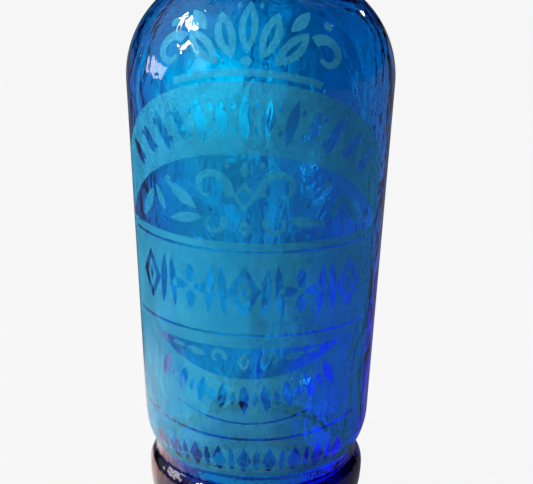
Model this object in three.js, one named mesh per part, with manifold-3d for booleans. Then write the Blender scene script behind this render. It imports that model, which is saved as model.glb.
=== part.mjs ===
// A soda-water siphon: a heavy blue glass bottle with a waisted foot, closed by a cast
// tin head with a thumb lever, a spring-loaded valve, a curved spout and a glass dip tube.
// Millimetres, +Z up. The origin is on the bottle's axis, at the plane its foot stands on.
// The spout points along +X and the lever's tail along -X.

import * as THREE from "three";
import { mergeVertices } from "three/addons/utils/BufferGeometryUtils.js";
import Module from "manifold-3d";

const wasm = await Module();
wasm.setup();

// ---------------------------------------------------------------- driving dimensions

// Clearances
const restGap = 0.3; // between two pieces that touch or are screwed together
const slideGap = 0.1; // radial, between a shaft and the hole it moves in

// Glass bottle
const bodyRadius = 52.5; // widest, at the shoulder's spring line
const shoulderHeight = 182; // floor to the spring line
const shoulderArc = 40.5; // radius of the domed shoulder
const heelRadius = 46.5; // where the taper ends above the heel
const heelHeight = 43;
const heelArc = 30; // radius of the heel's rounding
const heelTurn = 28; // degrees from vertical at which the heel meets the waist groove
const waistRadius = 41.6; // bottom of the waist groove
const waistHeight = 25.5;
const footRadius = 45; // widest of the foot ring
const footBulgeHeight = 17; // floor to the foot ring's widest point
const contactOuter = 39; // the flat ring that the bottle stands on
const contactInner = 33.5;
const puntHeight = 8; // how far the base is pushed up at the axis
const baseThickness = 8;
const wall = 5.5;
const neckRadius = 14.5;
const neckBore = 9.5;
const neckFillet = 9;
const neckStraight = 8;
const lipOverhang = 3.5; // lip beyond the neck
const lipHeight = 11;

// Dip tube
const tubeRadius = 4;
const tubeBore = 2.5;
const tubeFloorGap = 6; // tip of the tube to the inside of the base

// Neck fittings
const linerWall = 1.5;
const linerHeight = 8;
const collarWall = 3.7;
const collarFlangeOverhang = 3.5; // flange beyond the sleeve
const collarFlangeHeight = 6.7;
const collarSleeveReach = 9; // how far the collar's sleeve stands up round the lip
const notchCount = 6; // hook-spanner notches in the collar's flange
const notchWidth = 6;
const notchDepth = 2;
const gasketThickness = 2.2;
const bushingWall = 2.9;
const bushingBelowLip = 6;
const bushingAboveLip = 9.2;
const holderWall = 2.7;
const holderHeight = 9.4;
const holderWeb = 3; // thickness over the bushing, with the flow hole through it
const holderFlowRadius = 3.2;

// Head casting
const skirtWall = 3.7;
const skirtOverlap = 12.5; // how far the skirt reaches below the glass lip
const columnWall = 3.7; // round the tube holder
const columnFoot = 9.5; // height above the lip where the skirt's slope meets the column
const rimOverhang = 2; // rim beyond the column
const rimHeight = 4.5;
const chamberGap = 2.3; // radial way past the valve's disc
const chamberHeight = 14;
const seatRadius = 4.5;
const seatThickness = 3;
const outletRadius = 5.8;
const outletMargin = 0.5; // height of the outlet space over the spout's bore
const packingLedge = 0.8; // radial step that the thrust washer lies on
const packingDepth = 8.5;
const bossWall = 3.8; // round the spout's socket
const bossReach = 20.5; // axis to the boss's face

// Valve
const rodRadius = 2;
const guideRadius = 1.6;
const guideLength = 6;
const seatOverlap = 1.7; // disc beyond the seat's hole
const discThickness = 1.6;
const washerThickness = 2.4;
const nutAcrossCorners = 7.2;
const nutThickness = 1.7;
const thrustThickness = 1;
const packingThickness = 3;
const glandFlangeOverhang = 1.2;
const glandFlangeHeight = 3.7;
const buttonRadius = 4.5;
const buttonHeight = 3.9;
const buttonSocket = 2.2; // depth of the hole that takes the rod's end
const springWire = 0.55; // radius of the wire
const springRadius = 4.4; // middle of the coil
const springTurns = 4;

// Lever and its pin
const leverArm = 14; // pin to spindle
const leverStroke = 11.5; // degrees that the lever is pressed
const padRadius = 5; // rounded pad under the lever that meets the button
const hubRadius = 5.6;
const leverWidth = 9;
const leverReach = 62; // axis to the end of the lever's tail
const leverDrop = 21; // pin down to the end of the tail
const leverMidHalf = 3.2; // half the lever's thickness over the button
const leverTailHalf = 2.3; // half its thickness at the tail
const thumbWidth = 15;
const earThickness = 3.2;
const pinRadius = 1.9;
const pinHeadRadius = 3.3;
const pinHeadThickness = 1.3;
const pinStandOut = 1; // past the far ear
const slotWidth = 0.8; // of the screwdriver slot

// Spout and nozzle
const spoutRadius = 4.4;
const spoutBore = 2.5;
const spoutReach = 62; // axis to the outside of the nozzle's flange
const spoutRise = 5; // how far the spout's bend is pulled up above the boss
const spoutDrop = 26; // boss axis down to the end of the tube
const spoutInset = 7; // length of the tube held in the boss
const nozzleFlangeRadius = 6.4;
const nozzleLength = 15;
const nozzleTipRadius = 3.9;
const nozzleSocket = 6; // length of the spout held in the nozzle

// Fineness of the faceted rounds
const bottleSides = 32;
const castingSides = 32;
const smallSides = 20;
const pinSides = 24;

// ---------------------------------------------------------------- derived dimensions

const degrees = Math.PI / 180;
const travel = leverArm * leverStroke * degrees; // of the spindle, at full press

const lipRadius = neckRadius + lipOverhang;
const neckCentre = bodyRadius - shoulderArc; // the shoulder arc's centre is off the axis

// Centre of the concave fillet that joins a shoulder arc to a neck, and the angle at
// which it leaves the shoulder.
function neckJoin(arc, fillet, radius) {
  const across = radius + fillet - neckCentre;
  const up = Math.sqrt((arc + fillet) ** 2 - across ** 2);
  return {
    r: radius + fillet,
    z: shoulderHeight + up,
    fillet,
    leaves: Math.atan2(up, across),
  };
}

const outerJoin = neckJoin(shoulderArc, neckFillet, neckRadius);
const innerJoin = neckJoin(shoulderArc - wall, neckFillet + wall, neckBore);
const lipBottom = outerJoin.z + neckStraight;
const lipTop = lipBottom + lipHeight;

// Heights inside the head are measured from the lip's top.
const linerBore = neckRadius + restGap;
const linerOuter = linerBore + linerWall;
const collarBore = linerOuter + restGap;
const sleeveBore = lipRadius + restGap;
const sleeveOuter = sleeveBore + collarWall;
const collarFlangeRadius = sleeveOuter + collarFlangeOverhang;
const collarShelf = -lipHeight - restGap; // the step that hooks under the lip
const collarBottom = collarShelf - linerHeight - restGap;
const collarFlangeTop = collarBottom + collarFlangeHeight;
const skirtBottom = Math.max(-skirtOverlap, collarFlangeTop + restGap);
const skirtBore = sleeveOuter + restGap;
const skirtOuter = skirtBore + skirtWall;
const ceiling = gasketThickness + 2 * restGap;
const bushingBore = tubeRadius + slideGap;
const bushingOuter = bushingBore + bushingWall;
const holderBottom = ceiling + restGap;
const holderTop = holderBottom + holderHeight;
const holderSocket = bushingOuter + restGap;
const holderRadius = holderSocket + holderWall;
const holderBore = holderRadius + restGap;
const columnRadius = holderBore + columnWall;
const rimRadius = columnRadius + rimOverhang;
const chamberFloor = holderTop + restGap;
const seatBottom = chamberFloor + chamberHeight;
const seatTop = seatBottom + seatThickness;
const discRadius = seatRadius + seatOverlap;
const chamberRadius = discRadius + chamberGap;
const outletHeight = 2 * spoutBore + outletMargin;
const outletTop = seatTop + outletHeight;
const packingRadius = outletRadius + packingLedge;
const glandFlangeRadius = packingRadius + glandFlangeOverhang;
const columnTop = outletTop + packingDepth;
const spoutAxis = seatTop + outletHeight / 2;
const spoutSocket = spoutRadius + restGap;
const bossRadius = spoutSocket + bossWall;
const washerTop = seatBottom - restGap;
const washerBottom = washerTop - washerThickness;
const discTop = washerBottom - restGap;
const discBottom = discTop - discThickness;
const washerNutBottom = washerTop + slideGap;
const thrustBottom = outletTop + restGap;
const packingBottom = thrustBottom + thrustThickness + restGap;
const glandBottom = packingBottom + packingThickness + restGap;
const glandTop = columnTop + restGap + glandFlangeHeight;
const buttonBottom = glandTop + travel + restGap;
const buttonTop = buttonBottom + buttonHeight;
const pivotHeight = buttonTop + restGap + padRadius;
const pivotHole = pinRadius + slideGap;
const rodHole = rodRadius + slideGap;
const earInner = leverWidth / 2 + restGap;
const earOuter = earInner + earThickness;
const tubeEnd = bushingAboveLip - restGap;
const nozzleAxis = spoutReach - nozzleFlangeRadius;
const spoutEnd = spoutAxis - spoutDrop;
const nozzleTop = spoutEnd + nozzleSocket;
const nozzleBottom = nozzleTop - nozzleLength;

// ---------------------------------------------------------------- materials

function finish(color, roughness, metalness) {
  return new THREE.MeshStandardMaterial({ color, roughness, metalness });
}

const blueGlass = finish(0x0a7fc4, 0.08, 0);
blueGlass.transparent = true;
blueGlass.opacity = 0.55;
const clearGlass = finish(0xbfe3ea, 0.08, 0);
clearGlass.transparent = true;
clearGlass.opacity = 0.45;
const castTin = finish(0xa9a59c, 0.42, 1);
const brass = finish(0xb08d4a, 0.35, 1);
const springBronze = finish(0x9a7a48, 0.4, 1);
const rubber = finish(0x2a2622, 0.85, 0);
const leather = finish(0x6b4a2c, 0.8, 0);

// ---------------------------------------------------------------- helpers

const group = new THREE.Group();

// A closed solid from a three.js geometry.
function solid(geometry) {
  const bare = geometry.index ? geometry.toNonIndexed() : geometry.clone();
  bare.deleteAttribute("normal");
  bare.deleteAttribute("uv");
  const merged = mergeVertices(bare, 1e-4);
  return new wasm.Manifold(
    new wasm.Mesh({
      numProp: 3,
      vertProperties: merged.attributes.position.array,
      triVerts: new Uint32Array(merged.index.array),
    }),
  );
}

// The three.js geometry of a solid.
function geometryOf(made) {
  const mesh = made.getMesh();
  return new THREE.BufferGeometry()
    .setAttribute("position", new THREE.BufferAttribute(mesh.vertProperties, 3))
    .setIndex(new THREE.BufferAttribute(mesh.triVerts, 1));
}

// A solid of revolution about Z from a path or points of (radius, height). The profile
// runs up the outside, and starts and ends on the axis or closes on itself.
function revolve(profile, sides, curveSteps = 3) {
  const points = Array.isArray(profile)
    ? profile.map(([r, z]) => new THREE.Vector2(r, z))
    : profile.getPoints(curveSteps).reverse();
  return new THREE.LatheGeometry(points, sides).rotateX(Math.PI / 2);
}

// A ring of rectangular section, bored right through.
function ring(bore, outer, bottom, top, sides) {
  const section = [
    [bore, bottom],
    [outer, bottom],
    [outer, top],
    [bore, top],
    [bore, bottom],
  ];
  return revolve(section, sides);
}

function rod(radius, bottom, top, sides) {
  const section = [
    [0, bottom],
    [radius, bottom],
    [radius, top],
    [0, top],
  ];
  return revolve(section, sides);
}

// A bar of round section along X, from x = start to x = end, at height z.
function rodAlongX(radius, start, end, z, sides) {
  return rod(radius, start, end, sides).rotateY(Math.PI / 2).translate(0, 0, z);
}

// A bar of round section along Y, centred on (x, z).
function rodAlongY(radius, start, end, x, z, sides) {
  return rod(radius, -end, -start, sides).rotateX(Math.PI / 2).translate(x, 0, z);
}

// A flat shape drawn in X and Z, given a thickness from y = from to y = to.
function plate(shape, from, to, curveSteps = 8) {
  return new THREE.ExtrudeGeometry(shape, {
    depth: to - from,
    bevelEnabled: false,
    curveSegments: curveSteps,
  })
    .rotateX(Math.PI / 2)
    .translate(0, to, 0);
}

// A bar that follows a curve in X and Z, with half its thickness given along the way.
function ribbon(curve, half, start, end, steps) {
  const upper = [];
  const lower = [];
  for (let i = 0; i <= steps; i++) {
    const t = start + ((end - start) * i) / steps;
    const at = curve.getPoint(t);
    const along = curve.getTangent(t);
    const side = new THREE.Vector2(-along.y, along.x).multiplyScalar(half(t));
    upper.push(at.clone().add(side));
    lower.push(at.clone().sub(side));
  }
  return new THREE.Shape([...lower, ...upper.reverse()]);
}

// A pipe of constant section along a curve.
function pipe(curve, outer, bore, steps, curveSteps) {
  const section = new THREE.Shape().absarc(0, 0, outer, 0, 2 * Math.PI);
  section.holes.push(new THREE.Path().absarc(0, 0, bore, 0, 2 * Math.PI));
  return new THREE.ExtrudeGeometry(section, {
    extrudePath: curve,
    steps,
    curveSegments: curveSteps,
  });
}

function add(name, geometry, material, parent) {
  const mesh = new THREE.Mesh(geometry, material);
  mesh.name = name;
  parent.add(mesh);
}

// ---------------------------------------------------------------- the bottle

// One closed profile: up the inside from the axis, over the lip, down the outside and
// under the base back to the axis.
function bottleProfile() {
  const taper = Math.atan2(bodyRadius - heelRadius, shoulderHeight - heelHeight);
  const heel = heelTurn * degrees;
  const heelR = heelRadius - heelArc * Math.cos(taper);
  const heelZ = heelHeight + heelArc * Math.sin(taper);
  const innerArc = heelArc - wall;
  const innerHeelR = heelR + innerArc * Math.cos(heel);
  const innerHeelZ = heelZ - innerArc * Math.sin(heel);
  const outerHeelR = heelR + heelArc * Math.cos(heel);
  const outerHeelZ = heelZ - heelArc * Math.sin(heel);
  const innerWaist = waistRadius - wall;
  const floorDip = puntHeight + baseThickness - 5;
  const floorRing = innerWaist * 0.66;
  const roll = 2; // rounding of the lip's edges
  const p = new THREE.Path();

  // inside
  p.moveTo(0, puntHeight + baseThickness);
  p.bezierCurveTo(
    floorRing * 0.35, puntHeight + baseThickness,
    floorRing * 0.65, floorDip,
    floorRing, floorDip,
  );
  p.bezierCurveTo(
    innerWaist * 0.9, floorDip,
    innerWaist, floorDip + (waistHeight - floorDip) * 0.4,
    innerWaist, waistHeight,
  );
  p.bezierCurveTo(
    innerWaist, waistHeight + 3,
    innerHeelR - 2.5, innerHeelZ - 3.5,
    innerHeelR, innerHeelZ,
  );
  p.absarc(heelR, heelZ, innerArc, -heel, -taper, false);
  p.absarc(neckCentre, shoulderHeight, shoulderArc - wall, -taper, innerJoin.leaves, false);
  p.absarc(innerJoin.r, innerJoin.z, innerJoin.fillet, Math.PI + innerJoin.leaves, Math.PI, true);
  p.lineTo(neckBore, lipTop - roll / 2);

  // lip
  p.quadraticCurveTo(neckBore, lipTop, neckBore + roll / 2, lipTop);
  p.lineTo(lipRadius - roll, lipTop);
  p.absarc(lipRadius - roll, lipTop - roll, roll, Math.PI / 2, 0, true);
  p.lineTo(lipRadius, lipBottom + roll);
  p.absarc(lipRadius - roll, lipBottom + roll, roll, 0, -Math.PI / 2, true);
  p.lineTo(neckRadius, lipBottom);

  // outside
  p.absarc(outerJoin.r, outerJoin.z, outerJoin.fillet, Math.PI, Math.PI + outerJoin.leaves, false);
  p.absarc(neckCentre, shoulderHeight, shoulderArc, outerJoin.leaves, -taper, true);
  p.absarc(heelR, heelZ, heelArc, -taper, -heel, true);
  p.bezierCurveTo(
    outerHeelR - 2, outerHeelZ - 2.4,
    waistRadius, waistHeight + 2.2,
    waistRadius, waistHeight,
  );
  p.bezierCurveTo(
    waistRadius, waistHeight - 3.4,
    footRadius, footBulgeHeight + (waistHeight - footBulgeHeight) * 0.66,
    footRadius, footBulgeHeight,
  );
  p.bezierCurveTo(
    footRadius, footBulgeHeight * 0.45,
    contactOuter + (footRadius - contactOuter) * 0.55, 0,
    contactOuter, 0,
  );
  p.lineTo(contactInner, 0);
  p.bezierCurveTo(
    contactInner * 0.86, puntHeight * 0.5,
    contactInner * 0.5, puntHeight,
    0, puntHeight,
  );
  return p;
}

function bottle() {
  add("glass_bottle", revolve(bottleProfile(), bottleSides), blueGlass, group);
}

// ---------------------------------------------------------------- pieces in the neck

const head = new THREE.Group();
head.position.z = lipTop;
group.add(head);

// The tube is cut on a slant at the bottom, so that the liquid can always enter.
function dipTube() {
  const bottom = puntHeight + baseThickness + tubeFloorGap - lipTop;
  const pipeSolid = solid(ring(tubeBore, tubeRadius, bottom, tubeEnd, smallSides));
  const wedge = new THREE.BoxGeometry(4 * tubeRadius, 4 * tubeRadius, 4 * tubeRadius)
    .translate(0, 0, -2 * tubeRadius)
    .rotateY(30 * degrees)
    .translate(0, 0, bottom + tubeRadius / 2);
  add("dip_tube", geometryOf(pipeSolid.subtract(solid(wedge))), clearGlass, head);
}

function neckSeals() {
  const bushing = ring(bushingBore, bushingOuter, -bushingBelowLip, bushingAboveLip, smallSides);
  add("tube_bushing", bushing, rubber, head);
  const gasket = ring(neckBore, lipRadius - restGap, restGap, restGap + gasketThickness, castingSides);
  add("neck_gasket", gasket, rubber, head);
  const liner = ring(linerBore, linerOuter, collarShelf - linerHeight, collarShelf, castingSides);
  add("collar_liner", liner, leather, head);
}

// A threaded bush that grips the bushing and carries the valve spring on its top.
function tubeHolder() {
  const web = Math.max(holderTop - holderWeb, bushingAboveLip + restGap);
  const section = [
    [holderSocket, holderBottom],
    [holderRadius, holderBottom],
    [holderRadius, holderTop],
    [holderFlowRadius, holderTop],
    [holderFlowRadius, web],
    [holderSocket, web],
    [holderSocket, holderBottom],
  ];
  add("tube_holder", revolve(section, castingSides), brass, head);
}

// The collar is split, so that it can be put round the neck under the lip.
function collarHalves() {
  const section = [
    [collarBore, collarBottom],
    [collarFlangeRadius, collarBottom],
    [collarFlangeRadius, collarFlangeTop],
    [sleeveOuter, collarFlangeTop],
    [sleeveOuter, collarShelf + collarSleeveReach],
    [sleeveBore, collarShelf + collarSleeveReach],
    [sleeveBore, collarShelf],
    [collarBore, collarShelf],
    [collarBore, collarBottom],
  ];
  let collar = solid(revolve(section, castingSides));
  for (let i = 0; i < notchCount; i++) {
    const notch = new THREE.BoxGeometry(2 * notchDepth, notchWidth, 4 * collarFlangeHeight)
      .translate(collarFlangeRadius, 0, collarBottom)
      .rotateZ(((i + 0.5) * 2 * Math.PI) / notchCount);
    collar = collar.subtract(solid(notch));
  }
  const size = 4 * collarFlangeRadius;
  for (const [name, side] of [["collar_half_front", -1], ["collar_half_back", 1]]) {
    const keep = new THREE.BoxGeometry(size, size, size)
      .translate(0, side * (size / 2 + restGap / 2), 0);
    add(name, geometryOf(collar.intersect(solid(keep))), castTin, head);
  }
}

// ---------------------------------------------------------------- the head casting

// Column, skirt and stepped bore in one profile.
function castingProfile() {
  return [
    [skirtBore, skirtBottom],
    [skirtOuter, skirtBottom],
    [skirtOuter, 0],
    [skirtOuter - 1.5, ceiling],
    [columnRadius + 3, columnFoot - 3],
    [columnRadius, columnFoot],
    [columnRadius, columnTop - rimHeight - 1.5],
    [rimRadius, columnTop - rimHeight],
    [rimRadius, columnTop],
    [packingRadius, columnTop],
    [packingRadius, outletTop],
    [outletRadius, outletTop],
    [outletRadius, seatTop],
    [seatRadius, seatTop],
    [seatRadius, seatBottom],
    [chamberRadius, seatBottom],
    [chamberRadius, chamberFloor],
    [holderBore, chamberFloor],
    [holderBore, ceiling],
    [skirtBore, ceiling],
    [skirtBore, skirtBottom],
  ];
}

// One of the two ears that carry the lever's pin, seen from the side.
function earShape() {
  const root = columnTop - rimHeight;
  const shape = new THREE.Shape();
  shape.moveTo(leverArm - hubRadius, root);
  shape.lineTo(leverArm + hubRadius - 1, root);
  shape.lineTo(leverArm + hubRadius, columnTop);
  shape.lineTo(leverArm + hubRadius, pivotHeight);
  shape.absarc(leverArm, pivotHeight, hubRadius, 0, Math.PI, false);
  shape.lineTo(leverArm - hubRadius, root);
  return shape;
}

function headBody() {
  let casting = solid(revolve(castingProfile(), castingSides));
  const boss = rodAlongX(bossRadius, chamberRadius + 2, bossReach, spoutAxis, smallSides);
  casting = casting.add(solid(boss));
  for (const side of [-1, 1]) {
    const from = side < 0 ? -earOuter : earInner;
    casting = casting.add(solid(plate(earShape(), from, from + earThickness)));
  }
  const clear = rod(glandFlangeRadius + restGap, columnTop, pivotHeight, castingSides);
  const passage = rodAlongX(spoutBore, 0, bossReach + 1, spoutAxis, smallSides);
  const socket = bossReach - spoutInset - restGap;
  const seat = rodAlongX(spoutSocket, socket, bossReach + 1, spoutAxis, smallSides);
  const pivot = rodAlongY(pivotHole, -2 * earOuter, 2 * earOuter, leverArm, pivotHeight, pinSides);
  for (const cut of [clear, passage, seat, pivot]) casting = casting.subtract(solid(cut));
  add("head_body", geometryOf(casting), castTin, head);
}

// ---------------------------------------------------------------- the spout

function spout() {
  const start = bossReach - spoutInset;
  const curve = new THREE.CubicBezierCurve3(
    new THREE.Vector3(start, 0, spoutAxis),
    new THREE.Vector3(nozzleAxis - 8, 0, spoutAxis),
    new THREE.Vector3(nozzleAxis, 0, spoutAxis + spoutRise),
    new THREE.Vector3(nozzleAxis, 0, spoutEnd),
  );
  add("spout", pipe(curve, spoutRadius, spoutBore, 16, 8), castTin, head);
}

function nozzle() {
  const web = spoutEnd - restGap;
  const section = [
    [spoutBore, nozzleBottom],
    [nozzleTipRadius, nozzleBottom],
    [nozzleTipRadius + 0.5, nozzleBottom + 1],
    [nozzleTipRadius + 0.2, web - 2],
    [nozzleFlangeRadius, web],
    [nozzleFlangeRadius, nozzleTop - 1],
    [nozzleFlangeRadius - 1, nozzleTop],
    [spoutSocket, nozzleTop],
    [spoutSocket, web],
    [spoutBore, web],
    [spoutBore, nozzleBottom],
  ];
  add("spout_nozzle", revolve(section, smallSides).translate(nozzleAxis, 0, 0), brass, head);
}

// ---------------------------------------------------------------- the valve

function spindle() {
  const section = [
    [0, discBottom - guideLength],
    [guideRadius, discBottom - guideLength],
    [guideRadius, discBottom],
    [discRadius, discBottom],
    [discRadius, discTop],
    [rodRadius, discTop],
    [rodRadius, buttonBottom + buttonSocket - restGap],
    [0, buttonBottom + buttonSocket - restGap],
  ];
  add("valve_spindle", revolve(section, smallSides), brass, head);
}

function valveWasher() {
  add("valve_washer", ring(rodHole, discRadius, washerBottom, washerTop, smallSides), rubber, head);
}

function washerNut() {
  const nut = solid(rod(nutAcrossCorners / 2, washerNutBottom, washerNutBottom + nutThickness, 6));
  const hole = solid(rod(rodHole, washerNutBottom - 1, washerNutBottom + nutThickness + 1, smallSides));
  add("washer_nut", geometryOf(nut.subtract(hole)), brass, head);
}

// A helix from the tube holder's top to the underside of the valve's disc.
class Helix extends THREE.Curve {
  getPoint(t) {
    const bottom = holderTop + restGap + springWire;
    const top = discBottom - restGap - springWire;
    const turn = 2 * Math.PI * springTurns * t;
    return new THREE.Vector3(
      springRadius * Math.cos(turn),
      springRadius * Math.sin(turn),
      bottom + (top - bottom) * t,
    );
  }
}

function spring() {
  const wire = new THREE.Shape().absarc(0, 0, springWire, 0, 2 * Math.PI);
  const coil = new THREE.ExtrudeGeometry(wire, {
    extrudePath: new Helix(),
    steps: Math.round(springTurns * 14),
    curveSegments: 3,
  });
  add("valve_spring", coil, springBronze, head);
}

function gland() {
  const outer = packingRadius - restGap;
  const thrustTop = thrustBottom + thrustThickness;
  const packingTop = packingBottom + packingThickness;
  add("thrust_washer", ring(rodHole, outer, thrustBottom, thrustTop, smallSides), brass, head);
  add("packing_ring", ring(rodHole, outer, packingBottom, packingTop, smallSides), leather, head);
  const section = [
    [rodHole, glandBottom],
    [outer, glandBottom],
    [outer, columnTop + restGap],
    [glandFlangeRadius, columnTop + restGap],
    [glandFlangeRadius, glandTop - 0.8],
    [glandFlangeRadius - 0.8, glandTop],
    [rodHole, glandTop],
    [rodHole, glandBottom],
  ];
  add("gland_nut", revolve(section, smallSides), brass, head);
}

function button() {
  const section = [
    [0, buttonBottom + buttonSocket],
    [rodHole, buttonBottom + buttonSocket],
    [rodHole, buttonBottom],
    [buttonRadius, buttonBottom],
    [buttonRadius, buttonTop - 0.8],
    [buttonRadius - 0.8, buttonTop],
    [0, buttonTop],
  ];
  add("spindle_button", revolve(section, smallSides), brass, head);
}

// ---------------------------------------------------------------- the lever

function lever() {
  const curve = new THREE.CubicBezierCurve(
    new THREE.Vector2(leverArm, pivotHeight),
    new THREE.Vector2(-leverArm * 0.6, pivotHeight + 6),
    new THREE.Vector2(-leverReach * 0.82, pivotHeight + 8),
    new THREE.Vector2(-leverReach + leverTailHalf, pivotHeight - leverDrop),
  );
  const half = (t) => leverMidHalf + (leverTailHalf - leverMidHalf) * t;
  const from = -leverWidth / 2;
  const to = leverWidth / 2;
  const tail = curve.getPoint(1);
  const tip = rodAlongY(leverTailHalf, -thumbWidth / 2, thumbWidth / 2, tail.x, tail.y, smallSides);
  const hub = rodAlongY(hubRadius, from, to, leverArm, pivotHeight, pinSides);
  const pad = rodAlongY(padRadius, from, to, 0, pivotHeight, pinSides);
  const thumb = plate(ribbon(curve, half, 0.62, 1, 8), -thumbWidth / 2, thumbWidth / 2);
  let made = solid(plate(ribbon(curve, half, 0, 0.7, 14), from, to));
  for (const piece of [hub, pad, thumb, tip]) made = made.add(solid(piece));
  const hole = rodAlongY(pivotHole, 2 * from, 2 * to, leverArm, pivotHeight, pinSides);
  add("lever", geometryOf(made.subtract(solid(hole))), castTin, head);
}

function leverPin() {
  const start = earOuter + restGap;
  const end = start + pinHeadThickness;
  const tip = -earOuter - pinStandOut;
  const shank = solid(rodAlongY(pinRadius, tip, start, leverArm, pivotHeight, pinSides));
  const cap = rodAlongY(pinHeadRadius, start, end, leverArm, pivotHeight, pinSides);
  const slot = new THREE.BoxGeometry(3 * pinHeadRadius, pinHeadThickness, slotWidth)
    .translate(leverArm, end, pivotHeight);
  add("lever_pin", geometryOf(shank.add(solid(cap)).subtract(solid(slot))), brass, head);
}

// ---------------------------------------------------------------- assembly

bottle();
dipTube();
neckSeals();
tubeHolder();
collarHalves();
headBody();
spout();
nozzle();
spindle();
valveWasher();
washerNut();
spring();
gland();
button();
lever();
leverPin();

export default group;
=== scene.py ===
# %% [markdown]
# # A blue glass soda siphon
#
# A siphon is a heavy glass bottle with a metal head. This lesson builds its looks around
# a frame of plain solids that already have the right sizes and joints. Each visible solid
# is either given a finish, or is replaced by a smoother piece of the same size.

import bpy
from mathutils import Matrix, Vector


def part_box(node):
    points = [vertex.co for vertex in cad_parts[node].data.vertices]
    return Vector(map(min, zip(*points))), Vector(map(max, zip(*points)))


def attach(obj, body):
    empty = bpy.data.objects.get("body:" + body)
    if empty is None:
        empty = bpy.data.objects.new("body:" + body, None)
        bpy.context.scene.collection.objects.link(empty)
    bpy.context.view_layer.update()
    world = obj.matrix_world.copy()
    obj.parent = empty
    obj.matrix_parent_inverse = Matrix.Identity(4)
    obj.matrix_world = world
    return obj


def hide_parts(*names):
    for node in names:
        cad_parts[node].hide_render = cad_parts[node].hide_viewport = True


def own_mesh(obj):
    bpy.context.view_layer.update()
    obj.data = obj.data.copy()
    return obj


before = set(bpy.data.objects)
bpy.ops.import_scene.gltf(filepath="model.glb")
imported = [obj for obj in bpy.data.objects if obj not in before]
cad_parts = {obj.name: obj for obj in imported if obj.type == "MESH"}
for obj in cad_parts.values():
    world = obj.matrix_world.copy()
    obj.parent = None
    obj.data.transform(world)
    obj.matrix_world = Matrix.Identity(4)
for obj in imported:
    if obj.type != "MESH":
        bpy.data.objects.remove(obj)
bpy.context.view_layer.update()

# %% Modules, and the unit of the drawings
import math

import bmesh
import bpy
from mathutils import Matrix, Vector

MM = 0.001
print("one millimetre is", MM, "m")

# %% [markdown]
# ## Measures
#
# The glass is a surface of revolution, so its whole shape is one outline of radius
# against height. The outline is made of arcs and Bezier curves through a few sizes, the
# same sizes that the solid frame was made from. Heights in the head count from the lip.

# %% Sizes of the bottle, in metres
body_radius = 52.5 * MM
shoulder_height = 182 * MM
shoulder_arc = 40.5 * MM
heel_radius = 46.5 * MM
heel_height = 43 * MM
heel_arc = 30 * MM
heel_turn = math.radians(28)
waist_radius = 41.6 * MM
waist_height = 25.5 * MM
foot_radius = 45 * MM
foot_bulge_height = 17 * MM
contact_outer = 39 * MM
contact_inner = 33.5 * MM
punt_height = 8 * MM
base_thickness = 8 * MM
wall = 5.5 * MM
neck_radius = 14.5 * MM
neck_bore = 9.5 * MM
neck_fillet = 9 * MM
lip_radius = 18 * MM
taper = math.atan2(body_radius - heel_radius, shoulder_height - heel_height)
lip_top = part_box("glass_bottle")[1][2]
neck_centre = body_radius - shoulder_arc
print("height of the glass: %.1f mm" % (lip_top / MM))

# %% [markdown]
# An outline is drawn as a hand would draw it: a run of arcs and curves, each one sampled
# finely enough to look round close up.

# %% Points along arcs and Bezier curves
def arc(centre_r, centre_z, radius, start, end, steps):
    """Points of (radius, height) on an arc, from one angle to another."""
    turn = (end - start) / steps
    return [
        (
            centre_r + radius * math.cos(start + turn * i),
            centre_z + radius * math.sin(start + turn * i),
        )
        for i in range(steps + 1)
    ]


def bezier(p0, p1, p2, p3, steps):
    """Points on a cubic Bezier curve, without its first point."""
    points = []
    for i in range(1, steps + 1):
        t = i / steps
        u = 1 - t
        points.append(
            tuple(
                u**3 * a + 3 * u * u * t * b + 3 * u * t * t * c + t**3 * d
                for a, b, c, d in zip(p0, p1, p2, p3)
            )
        )
    return points


def neck_join(dome, fillet, radius):
    """Centre and starting angle of the hollow curve that joins a dome to a neck."""
    across = radius + fillet - neck_centre
    up = math.sqrt((dome + fillet) ** 2 - across**2)
    return radius + fillet, shoulder_height + up, math.atan2(up, across)


neck_angle = neck_join(shoulder_arc, neck_fillet, neck_radius)[2]
print("the neck leaves the dome at %.1f degrees" % math.degrees(neck_angle))

# %% [markdown]
# From the contact ring, where the bottle stands, the outside swells into the foot, draws in
# at the waist, opens at the heel, rises in a straight taper and closes in a dome. The
# inside runs back down with the wall's thickness between them.

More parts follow.
